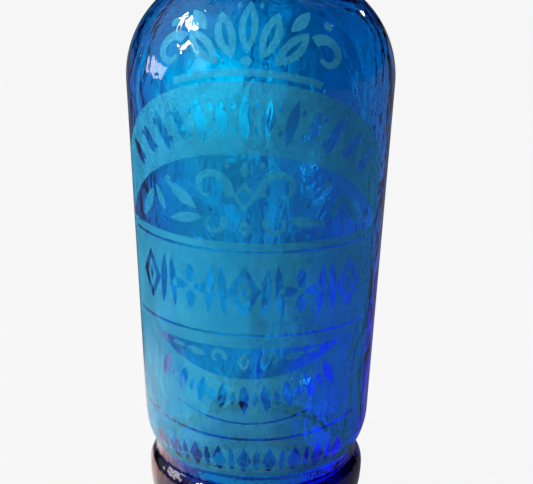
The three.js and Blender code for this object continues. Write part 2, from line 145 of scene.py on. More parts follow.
# %% The outside and the inside of the glass
def outer_outline():
    """The outside of the glass, from the contact ring up to the lip's top."""
    heel_r = heel_radius - heel_arc * math.cos(taper)
    heel_z = heel_height + heel_arc * math.sin(taper)
    low_r = heel_r + heel_arc * math.cos(heel_turn)
    low_z = heel_z - heel_arc * math.sin(heel_turn)
    waist = (waist_radius, waist_height)
    bulge = (foot_radius, foot_bulge_height)
    side = foot_bulge_height + (waist_height - foot_bulge_height) * 0.66
    under = contact_outer + (foot_radius - contact_outer) * 0.55
    join_r, join_z, leaves = neck_join(shoulder_arc, neck_fillet, neck_radius)
    lip_bottom = lip_top - 11 * MM
    roll = 2 * MM
    points = [(contact_outer, 0)]
    points += bezier(points[-1], (under, 0), (foot_radius, foot_bulge_height * 0.45), bulge, 14)
    points += bezier(bulge, (foot_radius, side), (waist_radius, waist_height - 3.4 * MM), waist, 14)
    points += bezier(
        waist,
        (waist_radius, waist_height + 2.2 * MM),
        (low_r - 2 * MM, low_z - 2.4 * MM),
        (low_r, low_z),
        12,
    )
    points += arc(heel_r, heel_z, heel_arc, -heel_turn, -taper, 14)[1:]
    side_start, side_end = points[-1], arc(neck_centre, shoulder_height, shoulder_arc, -taper, 0, 1)[0]
    rows = 26
    for i in range(1, rows):
        t = i / rows
        points.append(tuple(a + (b - a) * t for a, b in zip(side_start, side_end)))
    points += arc(neck_centre, shoulder_height, shoulder_arc, -taper, leaves, 40)
    points += arc(join_r, join_z, neck_fillet, math.pi + leaves, math.pi, 10)[1:]
    points += [(neck_radius, lip_bottom), (lip_radius - roll, lip_bottom)]
    points += arc(lip_radius - roll, lip_bottom + roll, roll, -math.pi / 2, 0, 6)[1:]
    points += arc(lip_radius - roll, lip_top - roll, roll, 0, math.pi / 2, 6)
    return points


def inner_outline():
    """The inside of the glass, from the lip's top down to the axis."""
    heel_r = heel_radius - heel_arc * math.cos(taper)
    heel_z = heel_height + heel_arc * math.sin(taper)
    low_arc = heel_arc - wall
    low_r = heel_r + low_arc * math.cos(heel_turn)
    low_z = heel_z - low_arc * math.sin(heel_turn)
    waist = waist_radius - wall
    top = punt_height + base_thickness
    dip = top - 5 * MM
    ring = waist * 0.66
    join_r, join_z, leaves = neck_join(shoulder_arc - wall, neck_fillet + wall, neck_bore)
    roll = 1 * MM
    points = [(neck_bore + roll, lip_top)]
    points += bezier(points[-1], (neck_bore, lip_top), (neck_bore, lip_top), (neck_bore, lip_top - roll), 4)
    points += arc(join_r, join_z, neck_fillet + wall, math.pi, math.pi + leaves, 14)
    points += arc(neck_centre, shoulder_height, shoulder_arc - wall, leaves, -taper, 40)[1:]
    points += arc(heel_r, heel_z, low_arc, -taper, -heel_turn, 12)
    points += bezier(
        points[-1],
        (low_r - 2.5 * MM, low_z - 3.5 * MM),
        (waist, waist_height + 3 * MM),
        (waist, waist_height),
        10,
    )
    points += bezier(
        (waist, waist_height),
        (waist, dip + (waist_height - dip) * 0.4),
        (waist * 0.9, dip),
        (ring, dip),
        12,
    )
    points += bezier((ring, dip), (ring * 0.65, dip), (ring * 0.35, top), (0, top), 12)
    return points


print("outline points:", len(outer_outline()), "outside,", len(inner_outline()), "inside")

# %% [markdown]
# ## Turning
#
# Most of a siphon is turned or blown round an axis. Spinning an outline is the same
# operation: the outline is drawn as a chain of edges and the spin operator sweeps it round.

# %% A turned piece from an outline
def deselect_all():
    if bpy.context.object and bpy.context.object.mode == "EDIT":
        bpy.ops.object.mode_set(mode="OBJECT")
    bpy.ops.object.select_all(action="DESELECT")


def pick(piece):
    deselect_all()
    piece.select_set(True)
    bpy.context.view_layer.objects.active = piece


def cleaned(piece, merge=0.002 * MM):
    """Joins the points that coincide and turns every face outwards."""
    pick(piece)
    bpy.ops.object.mode_set(mode="EDIT")
    bpy.ops.mesh.select_all(action="SELECT")
    bpy.ops.mesh.remove_doubles(threshold=merge)
    bpy.ops.mesh.normals_make_consistent(inside=False)
    bpy.ops.object.mode_set(mode="OBJECT")


def smoothed(piece, angle=32):
    pick(piece)
    bpy.ops.object.shade_smooth_by_angle(angle=math.radians(angle))


def turned(name, outline, steps=128, closed=False, angle=40):
    """Spins an outline of (radius, height) about the Z axis and shades it smooth."""
    mesh = bpy.data.meshes.new(name)
    edges = [(i, i + 1) for i in range(len(outline) - 1)]
    if closed:
        edges.append((len(outline) - 1, 0))
    mesh.from_pydata([(r, 0, z) for r, z in outline], edges, [])
    piece = bpy.data.objects.new(name, mesh)
    bpy.context.collection.objects.link(piece)
    pick(piece)
    bpy.ops.object.mode_set(mode="EDIT")
    bpy.ops.mesh.select_all(action="SELECT")
    bpy.ops.mesh.spin(steps=steps, angle=2 * math.pi, center=(0, 0, 0), axis=(0, 0, 1))
    bpy.ops.object.mode_set(mode="OBJECT")
    cleaned(piece, 0.004 * MM)
    smoothed(piece, angle)
    return piece


print("helpers for turning are ready")

# %% [markdown]
# ## The glass
#
# The bottle is one closed skin: outside, lip, inside, floor, and the pushed-up base.
# A real wall thickness matters more than anything else here, because the colour of glass
# comes from how far the light travels inside it.

# %% Spin the bottle
def bottle_outline():
    base = bezier(
        (0, punt_height),
        (contact_inner * 0.5, punt_height),
        (contact_inner * 0.86, punt_height * 0.5),
        (contact_inner, 0),
        12,
    )
    return [(0, punt_height)] + base + outer_outline() + inner_outline()


bottle = turned("bottle", bottle_outline(), steps=192, angle=50)
print("bottle faces:", len(bottle.data.polygons))

# %% [markdown]
# The dip tube carries the drink up to the valve. It is a plain glass tube whose lower end
# is ground on a slant, so that it can't seal itself against the floor. It is spun with its
# bore, and a bisect with fill grinds the end.

# %% Dip tube
tube_low, tube_high = (Vector(corner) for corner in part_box("dip_tube"))
tube_radius = 4 * MM
tube_bore = 2.5 * MM
tube_outline = [
    (tube_bore, tube_low.z),
    (tube_radius, tube_low.z),
    (tube_radius, tube_high.z),
    (tube_bore, tube_high.z),
]
tube_slant = math.radians(30)
tube = turned("siphon_tube", tube_outline, steps=48, closed=True)
pick(tube)
bpy.ops.object.mode_set(mode="EDIT")
bpy.ops.mesh.select_all(action="SELECT")
bpy.ops.mesh.bisect(
    plane_co=(0, 0, tube_low.z + tube_radius / 2),
    plane_no=(math.sin(tube_slant), 0, math.cos(tube_slant)),
    use_fill=True,
    clear_inner=True,
)
bpy.ops.object.mode_set(mode="OBJECT")
print("tube faces:", len(tube.data.polygons))

# %% [markdown]
# ## Finishes
#
# Every finish is a small tree of nodes on the object's own coordinates, so that it stays
# put when the object moves. A few helpers keep the trees short: one adds a node and fills
# its inputs, one maps a range to another, one does sums, and one mixes two colours.

# %% Helpers for shader nodes
def node(tree, kind, inputs=None, **settings):
    """Adds a node, sets its properties and fills its inputs with values or links."""
    made = tree.nodes.new(kind)
    for key, value in settings.items():
        setattr(made, key, value)
    for key, value in (inputs or {}).items():
        if isinstance(value, bpy.types.NodeSocket):
            tree.links.new(value, made.inputs[key])
        else:
            made.inputs[key].default_value = value
    return made


def remap(tree, value, low, high, to_low=0.0, to_high=1.0, smooth=True):
    limits = {"Value": value, "From Min": low, "From Max": high, "To Min": to_low, "To Max": to_high}
    kind = "SMOOTHSTEP" if smooth else "LINEAR"
    return node(tree, "ShaderNodeMapRange", limits, interpolation_type=kind).outputs["Result"]


def math_node(tree, operation, a, b=0.0):
    return node(tree, "ShaderNodeMath", {0: a, 1: b}, operation=operation).outputs["Value"]


def blend(tree, factor, a, b):
    """Mixes two colours, each a value or a link."""
    mix = tree.nodes.new("ShaderNodeMix")
    mix.data_type = "RGBA"
    for socket, value in ((0, factor), (6, a), (7, b)):
        if isinstance(value, bpy.types.NodeSocket):
            tree.links.new(value, mix.inputs[socket])
        else:
            mix.inputs[socket].default_value = value
    return mix.outputs[2]


def new_material(name):
    material = bpy.data.materials.new(name)
    material.use_nodes = True
    shader = material.node_tree.nodes["Principled BSDF"]
    return material, material.node_tree, shader


def object_noise(tree, scale, detail=3, distortion=0.0, stretch=(1, 1, 1)):
    """Noise fixed to the object, from 0 to 1, optionally stretched along an axis."""
    place = tree.nodes.new("ShaderNodeTexCoord").outputs["Object"]
    sized = node(tree, "ShaderNodeMapping", {"Vector": place, "Scale": stretch}).outputs["Vector"]
    values = {"Vector": sized, "Scale": scale, "Detail": detail, "Distortion": distortion}
    return node(tree, "ShaderNodeTexNoise", values).outputs["Fac"]


def bumped(tree, shader, height, strength, distance):
    values = {"Height": height, "Strength": strength, "Distance": distance}
    tree.links.new(node(tree, "ShaderNodeBump", values).outputs["Normal"], shader.inputs["Normal"])


print("helpers for finishes are ready")

# %% [markdown]
# ## Glass finish
#
# The blue isn't painted on: the surface is clear and the volume absorbs red most, green
# less and blue hardly at all. Thin walls come out turquoise and thick ones deep blue.
# Old glass isn't flat either: slow waves, a few bubbles and a faint haze break up what is
# seen through it. The dip tube is given a weaker bend than real glass has, so that it stays
# a faint pale band behind the etching.

# %% Glass materials
def glass(name, tint, density, ior=1.5, transmission=1, base=(1, 1, 1, 1)):
    material, tree, shader = new_material(name)
    shader.inputs["Base Color"].default_value = base
    shader.inputs["IOR"].default_value = ior
    shader.inputs["Transmission Weight"].default_value = transmission
    volume = tree.nodes.new("ShaderNodeVolumeAbsorption")
    volume.inputs["Color"].default_value = (*tint, 1)
    volume.inputs["Density"].default_value = density
    output = tree.nodes["Material Output"]
    tree.links.new(volume.outputs["Volume"], output.inputs["Volume"])
    return material, tree, shader


blue_glass, blue_tree, blue_shader = glass("blue_glass", (0.0, 0.86, 0.955), 1000)
tube_glass, tube_tree, tube_shader = glass(
    "tube_glass", (0.80, 0.93, 0.96), 30, ior=1.08, transmission=0.97, base=(0.93, 0.98, 1.0, 1)
)
waves = object_noise(blue_tree, 75, 3, 0.8, (1, 1, 0.5))
bubbles = remap(blue_tree, object_noise(blue_tree, 420, 1), 0.72, 0.78, 0.0, 0.35)
bumped(blue_tree, blue_shader, math_node(blue_tree, "ADD", waves, bubbles), 0.5, 0.0021)
haze = remap(blue_tree, object_noise(blue_tree, 60, 6, 1.5, (1, 1, 0.3)), 0.45, 0.75, 0.015, 0.10)
blue_tree.links.new(haze, blue_shader.inputs["Roughness"])
scale_film = remap(tube_tree, object_noise(tube_tree, 300, 4), 0.3, 0.7, 0.08, 0.22)
tube_tree.links.new(scale_film, tube_shader.inputs["Roughness"])
bottle.data.materials.append(blue_glass)
tube.data.materials.append(tube_glass)
print("glass:", blue_glass.name, "and", tube_glass.name)

# %% [markdown]
# ## The etched front
#
# The decoration is bitten into the glass with acid, which leaves a pale matt skin. Here it
# is a very thin closed skin on the glass. It is drawn flat, with x along the girth and y
# along the wall, and then wrapped round the bottle. The motifs are plain lozenges, leaves
# and scrolls, and they stay clear where the ground round them is frosted.

# %% Sizes of the etching
art_radius = 50 * MM  # girth at which the flat drawing has its true width
art_turn = math.radians(-6)  # the drawing sits a little to the left of the front
art_half = 61 * MM
frost_gap = 0.03 * MM
frost_thickness = 0.08 * MM

# Heights along the wall from the shoulder's widest level, up is positive
banner_top = 9.3 * MM
banner_bottom = -17.4 * MM
banner_arc = 72 * MM
band_top = -51.5 * MM
band_bottom = -92.5 * MM
medallion_low = -107 * MM
medallion_half = 41 * MM
banner_middle = (banner_top + banner_bottom) / 2
band_middle = -71 * MM
smile_arc = 80 * MM
foot_line = -133 * MM
foot_row = -143 * MM
frost_end = -151.5 * MM
print("the drawing is %.0f mm wide and %.0f mm tall" % (2 * art_half / MM, (banner_top - frost_end) / MM))

# %% [markdown]
# Each motif is a closed loop of points. A leaf is two arcs that meet in points, a lozenge
# has four corners, and a scroll is a stroke that thins towards its curled end.

# %% Motif outlines
def leaf(x, y, length, width, turn=0.0, steps=10):
    """A pointed leaf centred on (x, y), upright when turn is 0."""
    loop = []
    for side in (1, -1):
        for i in range(steps):
            t = i / steps if side > 0 else 1 - i / steps
            across = side * width / 2 * math.sin(math.pi * t) ** 0.8
            loop.append((across, length * (t - 0.5)))
    return moved(loop, x, y, turn)


def lozenge(x, y, height, width, turn=0.0):
    return moved([(0, -height / 2), (width / 2, 0), (0, height / 2), (-width / 2, 0)], x, y, turn)


def disc(x, y, radius, steps=20):
    return [
        (
            x + radius * math.cos(2 * math.pi * i / steps),
            y + radius * math.sin(2 * math.pi * i / steps),
        )
        for i in range(steps)
    ]


def moved(loop, x, y, turn=0.0):
    c, s = math.cos(turn), math.sin(turn)
    return [(x + c * a - s * b, y + s * a + c * b) for a, b in loop]


def mirrored(loops):
    return [[(-x, y) for x, y in reversed(loop)] for loop in loops]


def stroke(points, widths):
    """A ribbon along a chain of points, whose width changes from one end to the other."""
    left, right = [], []
    last = len(points) - 1
    for i, (x, y) in enumerate(points):
        ax, ay = points[max(i - 1, 0)]
        bx, by = points[min(i + 1, last)]
        length = math.hypot(bx - ax, by - ay) or 1
        nx, ny = -(by - ay) / length, (bx - ax) / length
        half = (widths[0] + (widths[1] - widths[0]) * i / last) / 2
        left.append((x + nx * half, y + ny * half))
        right.append((x - nx * half, y - ny * half))
    return left + right[::-1]


def scroll(x, y, radius, start, sweep, widths, shrink=0.62, steps=22):
    """A curled stroke: a spiral about (x, y) that tightens as it turns."""
    points = []
    for i in range(steps + 1):
        t = i / steps
        r = radius * (1 - shrink * t)
        a = start + sweep * t
        points.append((x + r * math.cos(a), y + r * math.sin(a)))
    return stroke(points, widths)


def arched(x, top, radius=banner_arc):
    """Height of an arch whose crown is at top."""
    return top - (radius - math.sqrt(radius**2 - x**2))


def arch_line(top, half, steps=36, radius=banner_arc):
    return [
        (-half + 2 * half * i / steps, arched(-half + 2 * half * i / steps, top, radius))
        for i in range(steps + 1)
    ]


print("points in a leaf:", len(leaf(0, 0, 10 * MM, 4 * MM)))

# %% [markdown]
# ### From a drawing to a skin
#
# A flat curve fills its outer loop and leaves holes for the loops inside it, and its
# extrude gives it thickness. It is then cut by a lattice of planes, so that the flat faces
# can bend, and every point is carried onto the glass.

# %% Wall line of the glass, as height along the wall
def wall_line():
    heel_r = heel_radius - heel_arc * math.cos(taper)
    heel_z = heel_height + heel_arc * math.sin(taper)
    line = arc(heel_r, heel_z, heel_arc, -heel_turn - 0.12, -taper, 24)
    spring = len(line)
    line += arc(neck_centre, shoulder_height, shoulder_arc, -taper, math.radians(78), 80)
    lengths = [0]
    for a, b in zip(line, line[1:]):
        lengths.append(lengths[-1] + math.dist(a, b))
    zero = lengths[spring]
    return line, [length - zero for length in lengths]


wall_points, wall_lengths = wall_line()


def on_wall(along, out):
    """Radius and height of a point at a length along the wall, and out from its surface."""
    i = 1
    while i < len(wall_lengths) - 1 and wall_lengths[i] < along:
        i += 1
    (r0, z0), (r1, z1) = wall_points[i - 1], wall_points[i]
    step = wall_lengths[i] - wall_lengths[i - 1]
    t = (along - wall_lengths[i - 1]) / step
    nr, nz = (z1 - z0) / step, -(r1 - r0) / step
    return r0 + (r1 - r0) * t + nr * out, z0 + (z1 - z0) * t + nz * out


print("the wall is followed over %.0f mm" % ((wall_lengths[-1] - wall_lengths[0]) / MM))

# %% [markdown]
# The cutting and the wrapping are one function, since all six skins need them.

# %% A skin from loops
def cut_lattice(piece, step_x, step_y):
    """Splits flat faces along even lines, so that they can follow a curved wall."""
    xs = [v.co.x for v in piece.data.vertices]
    ys = [v.co.y for v in piece.data.vertices]
    bpy.ops.object.mode_set(mode="EDIT")
    for low, high, step, normal in (
        (min(xs), max(xs), step_x, (1, 0, 0)),
        (min(ys), max(ys), step_y, (0, 1, 0)),
    ):
        for i in range(int(low / step), int(high / step) + 1):
            bpy.ops.mesh.select_all(action="SELECT")
            place = tuple(axis * i * step for axis in normal)
            bpy.ops.mesh.bisect(plane_co=place, plane_no=normal)
    bpy.ops.object.mode_set(mode="OBJECT")


def etched(name, loops):
    """A thin skin on the glass from flat loops: outer ones are filled, inner ones are holes."""
    curve = bpy.data.curves.new(name, "CURVE")
    curve.dimensions = "2D"
    curve.fill_mode = "BOTH"
    curve.extrude = frost_thickness / 2
    for loop in loops:
        spline = curve.splines.new("POLY")
        spline.points.add(len(loop) - 1)
        for point, (x, y) in zip(spline.points, loop):
            point.co = (x, y, 0, 1)
        spline.use_cyclic_u = True
    piece = bpy.data.objects.new(name, curve)
    bpy.context.collection.objects.link(piece)
    pick(piece)
    bpy.ops.object.convert(target="MESH")
    piece = bpy.context.object
    cut_lattice(piece, 2.2 * MM, 3 * MM)
    for vertex in piece.data.vertices:
        x, y, lift = vertex.co
        r, z = on_wall(y, frost_gap + frost_thickness / 2 + lift)
        turn = art_turn + x / art_radius
        vertex.co = (r * math.sin(turn), -r * math.cos(turn), z)
    cleaned(piece)
    smoothed(piece, 30)
    print(name, "faces:", len(piece.data.polygons))
    return piece


# %% [markdown]
# ### The arched banner
#
# A frosted ribbon across the shoulder. Tall clear leaves and small lozenges march along
# it, each one leaning with the arch.

# %% Arched banner
def banner_motifs():
    loops = []
    pitch = 8.2 * MM
    for i in range(-6, 7):
        x = i * pitch
        lean = -math.asin(x / banner_arc)
        y = arched(x, banner_middle)
        tall = (18 * MM if i % 2 == 0 else 14 * MM) * math.cos(lean)
        loops.append(leaf(x, y, tall, 4.2 * MM, lean))
        between = x + pitch / 2
        if i < 6:
            for up in (-4.6 * MM, 4.6 * MM):
                height = arched(between, banner_middle + up)
                loops.append(lozenge(between, height, 3.4 * MM, 2.2 * MM, lean))
    return loops


banner_loop = arch_line(banner_bottom, art_half) + arch_line(banner_top, art_half)[::-1]
etched_banner = etched("etched_banner", [banner_loop] + banner_motifs())

# %% [markdown]
# ### The wide straight band
#
# A clear line borders it above and below. Its motifs are large and broad: framed lozenges
# and rosettes of four petals by turns, with a pair of leaves between neighbours.

# %% Wide band
def box_loop(low, high, half):
    return [(-half, low), (half, low), (half, high), (-half, high)]


def rosette(x, y, size):
    petals = []
    for side in (1, -1):
        petals.append(leaf(x, y + side * size * 0.52, size * 0.82, size * 0.42))
    for side in (1, -1):
        petals.append(leaf(x + side * size * 0.52, y, size * 0.82, size * 0.42, math.pi / 2))
    return petals


def band_motifs():
    pitch = 22 * MM
    loops = []
    for i in range(-2, 3):
        x = i * pitch
        if i % 2:
            loops += rosette(x, band_middle, 9.8 * MM)
        else:
            for height, width in ((21, 13), (13, 6.4), (6, 2.6)):
                loops.append(lozenge(x, band_middle, height * MM, width * MM))
        if i < 2:
            for side in (-1, 1):
                place = x + pitch / 2 + side * 2.6 * MM
                loops.append(leaf(place, band_middle, 21 * MM, 3.6 * MM, side * 0.08))
    return loops


band_loops = [box_loop(band_bottom, band_top, art_half)]
line_width = 1.1 * MM
for low in (band_top - 4.05 * MM, band_bottom + 3.25 * MM):
    band_loops.append(box_loop(low, low + line_width, art_half - 4 * MM))
etched_band = etched("etched_band", band_loops + band_motifs())

# %% [markdown]
# ### Lower ground
#
# Below the band the ground is frosted round a crescent medallion, down to the heel. Rows
# of leaves and lozenges follow the crescent's curve, and clear lines part them.

# %% Lower ground
def crescent(low, half, steps=30):
    top = band_bottom - 1.4 * MM
    drop = top - low
    radius = (half**2 + drop**2) / (2 * drop)
    sweep = math.asin(half / radius)
    loop = []
    for i in range(steps + 1):
        a = -sweep + 2 * sweep * i / steps
        loop.append((radius * math.sin(a), low + radius * (1 - math.cos(a))))
    return loop


def smile(x, low, radius=smile_arc):
    """Height of a hanging curve whose lowest point is at low."""
    return low + radius - math.sqrt(radius**2 - x**2)


def smile_line(low, reach, width, radius=smile_arc):
    line = [(x * MM, smile(x * MM, low, radius)) for x in range(-reach, reach + 1, 3)]
    return stroke(line, (width, width))


def lower_motifs():
    loops = [crescent(medallion_low, medallion_half)]
    pitch = 9 * MM
    row = -115.5 * MM
    for i in range(-4, 5):
        x = i * pitch
        lean = math.asin(x / smile_arc)
        loops.append(leaf(x, smile(x, row), 11.5 * MM, 4.4 * MM, lean))
        between = x + pitch / 2
        if i < 4:
            loops.append(lozenge(between, smile(between, row), 6.4 * MM, 2.8 * MM, lean))
    loops.append(smile_line(-126 * MM, 30, 0.9 * MM))
    loops.append(smile_line(foot_line, 54, 1.2 * MM, 4 * smile_arc))
    pitch = 11 * MM
    for i in range(-4, 5):
        x = i * pitch
        loops.append(lozenge(x, foot_row, 13 * MM, 6.6 * MM))
        if i < 4:
            loops.append(leaf(x + pitch / 2, foot_row, 11 * MM, 2.8 * MM))
    return loops


ground_top = band_bottom - 0.02 * MM
ground_loops = [box_loop(frost_end, ground_top, art_half)] + lower_motifs()
etched_ground = etched("etched_ground", ground_loops)

# %% [markdown]
# ### Crest and scrollwork
#
# On the shoulder and between the two bands it is the other way round: the motifs are
# frosted and the ground is clear. Pieces of one motif may not cross each other, so each
# is drawn as a loop of its own, with a hair's breadth between neighbours.

# %% Crest on the shoulder
def crest_loops():
    right = [
        leaf(9.2 * MM, 26 * MM, 20 * MM, 8.2 * MM, -0.42),
        leaf(17.3 * MM, 20.6 * MM, 18.5 * MM, 7.4 * MM, -0.9),
        scroll(30 * MM, 17.5 * MM, 6.6 * MM, 2.2, -5.0, (4.4 * MM, 1.5 * MM)),
        leaf(22.5 * MM, 31 * MM, 13 * MM, 5 * MM, -0.95),
        disc(34 * MM, 28.4 * MM, 1.9 * MM),
    ]
    veins = [
        leaf(9.2 * MM, 26 * MM, 11 * MM, 2 * MM, -0.42),
        leaf(17.3 * MM, 20.6 * MM, 10 * MM, 1.8 * MM, -0.9),
    ]
    middle = [
        leaf(0, 30 * MM, 22 * MM, 8 * MM),
        leaf(0, 29 * MM, 13 * MM, 2.4 * MM),
        lozenge(0, 16.4 * MM, 4.2 * MM, 5 * MM),
        lozenge(5.4 * MM, 38.6 * MM, 4 * MM, 2.4 * MM),
        lozenge(-5.4 * MM, 38.6 * MM, 4 * MM, 2.4 * MM),
        stroke(arch_line(12.4 * MM, 27 * MM), (2.6 * MM, 2.6 * MM)),
    ]
    return middle + right + mirrored(right) + veins + mirrored(veins)


etched_crest = etched("etched_crest", crest_loops())

# %% [markdown]
# Between the banner and the wide band, scrolls, leaves and a column of lozenges fill the
# clear ground. Only the right half is drawn, and it is mirrored.

# %% Scrollwork between the bands
def scrollwork_loops():
    right = [
        scroll(13 * MM, -31 * MM, 7.6 * MM, 3.5, -5.0, (3.6 * MM, 1.1 * MM)),
        scroll(12 * MM, -44.2 * MM, 4.6 * MM, 2.6, 5.0, (2.6 * MM, 0.9 * MM)),
        leaf(24.5 * MM, -35.5 * MM, 15 * MM, 5 * MM, -1.0),
        leaf(23 * MM, -43.8 * MM, 15 * MM, 4 * MM, -1.75),
        lozenge(6.2 * MM, -21.6 * MM, 3.6 * MM, 2.6 * MM),
        leaf(35.5 * MM, -38.5 * MM, 11 * MM, 3.4 * MM, -0.5),
        disc(31 * MM, -30.5 * MM, 1.5 * MM),
        leaf(43.5 * MM, -42 * MM, 15 * MM, 4.6 * MM, 0.55),
    ]
    middle = [
        lozenge(0, -33.6 * MM, 11.4 * MM, 9 * MM),
        lozenge(0, -33.6 * MM, 7 * MM, 5 * MM),
        lozenge(0, -23.4 * MM, 7 * MM, 3.6 * MM),
        lozenge(0, -45.6 * MM, 7.4 * MM, 5 * MM),
        disc(0, -45.6 * MM, 0.9 * MM, 12),
    ]
    return middle + right + mirrored(right)


etched_scrollwork = etched("etched_scrollwork", scrollwork_loops())

# %% [markdown]
# The crescent under the wide band is clear, with a small row of frosted motifs in it.

# %% Ornament in the medallion
def medallion_loops():
    right = [
        scroll(11 * MM, -98.6 * MM, 3.4 * MM, 3.3, -4.6, (2.2 * MM, 0.8 * MM)),
        leaf(20 * MM, -97.4 * MM, 9 * MM, 3 * MM, -1.4),
        leaf(28.5 * MM, -96.2 * MM, 6.5 * MM, 1.9 * MM, -1.5),
    ]
    middle = [lozenge(0, -100 * MM, 8.4 * MM, 5.4 * MM), lozenge(0, -100 * MM, 4.2 * MM, 2.4 * MM)]
    return middle + right + mirrored(right)


etched_medallion = etched("etched_medallion", medallion_loops())

# %% [markdown]
# Acid leaves a fine, even grain that scatters light and lets the blue behind it through. So
# the finish is matt, partly clear, and mottled by two noises, a fine one for the grain and
# a cloudy one for wear. Real frost is white: the blue in its colours is painted light, the
# glow that reaches it through the glass from inside.

# %% Etching finish
frost, frost_tree, frost_shader = new_material("etched_frost")
grain = remap(frost_tree, object_noise(frost_tree, 900, 5), 0.32, 0.68)
cloud = remap(frost_tree, object_noise(frost_tree, 55, 4, 1.0), 0.3, 0.7)
# Both pairs of colours are tinted blue. Real frost is white, so this blue is painted light: it stands for
# the glow reaching the frost through the blue glass.
fine = blend(frost_tree, grain, (0.006, 0.20, 0.38, 1), (0.050, 0.56, 0.76, 1))
worn = blend(frost_tree, cloud, (0.006, 0.25, 0.42, 1), (0.035, 0.46, 0.64, 1))
grain_wear_and_painted_blue = blend(frost_tree, 0.5, fine, worn)
frost_tree.links.new(grain_wear_and_painted_blue, frost_shader.inputs["Base Color"])
bumped(frost_tree, frost_shader, grain, 0.4, 0.0002)
frost_shader.inputs["Roughness"].default_value = 0.48
frost_shader.inputs["Specular IOR Level"].default_value = 0.5
frost_shader.inputs["Alpha"].default_value = 0.36
etchings = (
    etched_banner,
    etched_band,
    etched_ground,
    etched_crest,
    etched_scrollwork,
    etched_medallion,
)
for piece in etchings:
    piece.data.materials.clear()
    piece.data.materials.append(frost)
    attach(piece, "siphon")
print("etched skins:", len(etchings))

# %% [markdown]
# Each new piece is put on the body it rides on, and the plain solid that it stands for is
# hidden. Each row also names the piece's material slot.

# %% Put the glass on its body
for piece, node_name, slot_name in (
    (bottle, "glass_bottle", "blue_glass"),
    (tube, "dip_tube", "clear_glass"),
):
    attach(piece, "siphon")
    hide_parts(node_name)
    print(piece.name, "stands for", node_name)

# %% [markdown]
# ## The head
#
# Everything above the lip is cast tin and turned brass. Outlines here are in millimetres,
# with heights that count up from the lip. Their corners are softened, because a casting
# has no sharp edges, and they are turned finely enough to look round close up.

# %% Softened outlines
def softened(outline, radius):
    """A closed outline with each corner replaced by a short curve, from mm to metres."""
    points = []
    count = len(outline)
    for i, corner in enumerate(outline):
        ends = []
        for other in (outline[i - 1], outline[(i + 1) % count]):
            gap = math.dist(corner, other)
            t = min(radius, gap * 0.45) / gap
            ends.append([a + (b - a) * t for a, b in zip(corner, other)])
        for t in (0, 0.35, 0.65, 1):
            u = 1 - t
            points.append(
                tuple(u * u * a + 2 * u * t * c + t * t * b for a, c, b in zip(ends[0], corner, ends[1]))
            )
    return sharp(points)


def sharp(outline):
    """An outline of the head with its corners kept, from mm to metres."""
    return [(r * MM, lip_top + z * MM) for r, z in outline]


print("the head's outlines start at %.1f mm" % (lip_top / MM))

# %% [markdown]
# Bosses, pins and holes are all short round bars. A bar is added as a cylinder at its size
# and place, its ends are bevelled, and it is then joined to a piece or cut out of it.

# %% Rods, joining and cutting
def round_rod(name, radius, start, end, soft=0.0, sides=64):
    """A bar of round section from one point to another, its end edges softened."""
    start, end = Vector(start), Vector(end)
    axis = end - start
    deselect_all()
    bpy.ops.mesh.primitive_cylinder_add(
        vertices=sides,
        radius=radius,
        depth=axis.length,
        location=(start + end) / 2,
        rotation=axis.to_track_quat("Z", "Y").to_euler(),
    )
    rod = bpy.context.object
    rod.name = name
    bpy.ops.object.transform_apply(location=True, rotation=True, scale=True)
    if soft:
        bpy.ops.object.mode_set(mode="EDIT")
        bpy.ops.mesh.select_all(action="DESELECT")
        mesh = bmesh.from_edit_mesh(rod.data)
        for face in mesh.faces:
            if len(face.verts) > 4:
                face.select_set(True)
        bmesh.update_edit_mesh(rod.data)
        bpy.ops.mesh.bevel(offset=soft, segments=3, affect="EDGES")
        bpy.ops.object.mode_set(mode="OBJECT")
    return rod


def combine(piece, other, operation):
    """Joins another piece to this one or cuts it out, and removes the other."""
    pick(piece)
    change = piece.modifiers.new("combine", "BOOLEAN")
    change.operation = operation
    change.solver = "EXACT"
    change.object = other
    bpy.ops.object.modifier_apply(modifier=change.name)
    bpy.data.objects.remove(other)


# %% Sizes of the head, in millimetres, with heights from the lip
def at(x, y, z):
    """A point of the head given in millimetres from the lip's centre."""
    return (x * MM, y * MM, lip_top + z * MM)


arm = 14  # from the spindle to the lever's pin
pivot = 60.11
column_base = 39.3
column_top = 43.8
spout_axis = 32.55
boss_reach = 20.5
pin_radius = 1.9
hole_radius = 2
print("the pin sits %.1f mm above the floor" % (at(arm, 0, pivot)[2] / MM))

# %% [markdown]
# The head is one casting: a skirt that screws over the collar, a column with the valve
# chamber, and a boss for the spout. It is spun from an outline that holds its stepped bore
# too, so that the valve has a real seat, and the boss is joined on.

# %% Casting: column, skirt and stepped bore
casting_outline = [
    (22.3, -12.5), (26, -12.5), (26, -9.6), (25.3, -9.2), (25.3, -8.4), (26, -8.0),
    (26, 0), (24.5, 2.8), (17, 6.5), (14, 9.5), (14, 17.2), (13.3, 17.7), (13.3, 18.7),
    (14, 19.2), (14, 37.8), (16, 39.3), (16, 43.8), (6.6, 43.8), (6.6, 35.3), (5.8, 35.3),
    (5.8, 29.8), (4.5, 29.8), (4.5, 26.8), (8.5, 26.8), (8.5, 12.8), (10.3, 12.8),
    (10.3, 2.8), (22.3, 2.8),
]
casting = turned("head_casting", softened(casting_outline, 0.55), steps=96, closed=True)
boss = round_rod("boss", 8.5 * MM, at(10.5, 0, spout_axis), at(boss_reach, 0, spout_axis), 0.7 * MM)
combine(casting, boss, "UNION")
print("casting with its boss:", len(casting.data.polygons), "faces")

# %% [markdown]
# Two flat ears hold the pin, with the lever between them. Each is a flat outline with a
# round top, extruded to its thickness and bevelled. After that, four bars are cut out of
# the casting: the gland's room, the passage, the spout's seat and the pin's hole.

# %% Ears for the lever's pin
ear_radius = 5.6
ear_inner = 4.8
ear_outer = 8
ear_steps = 24


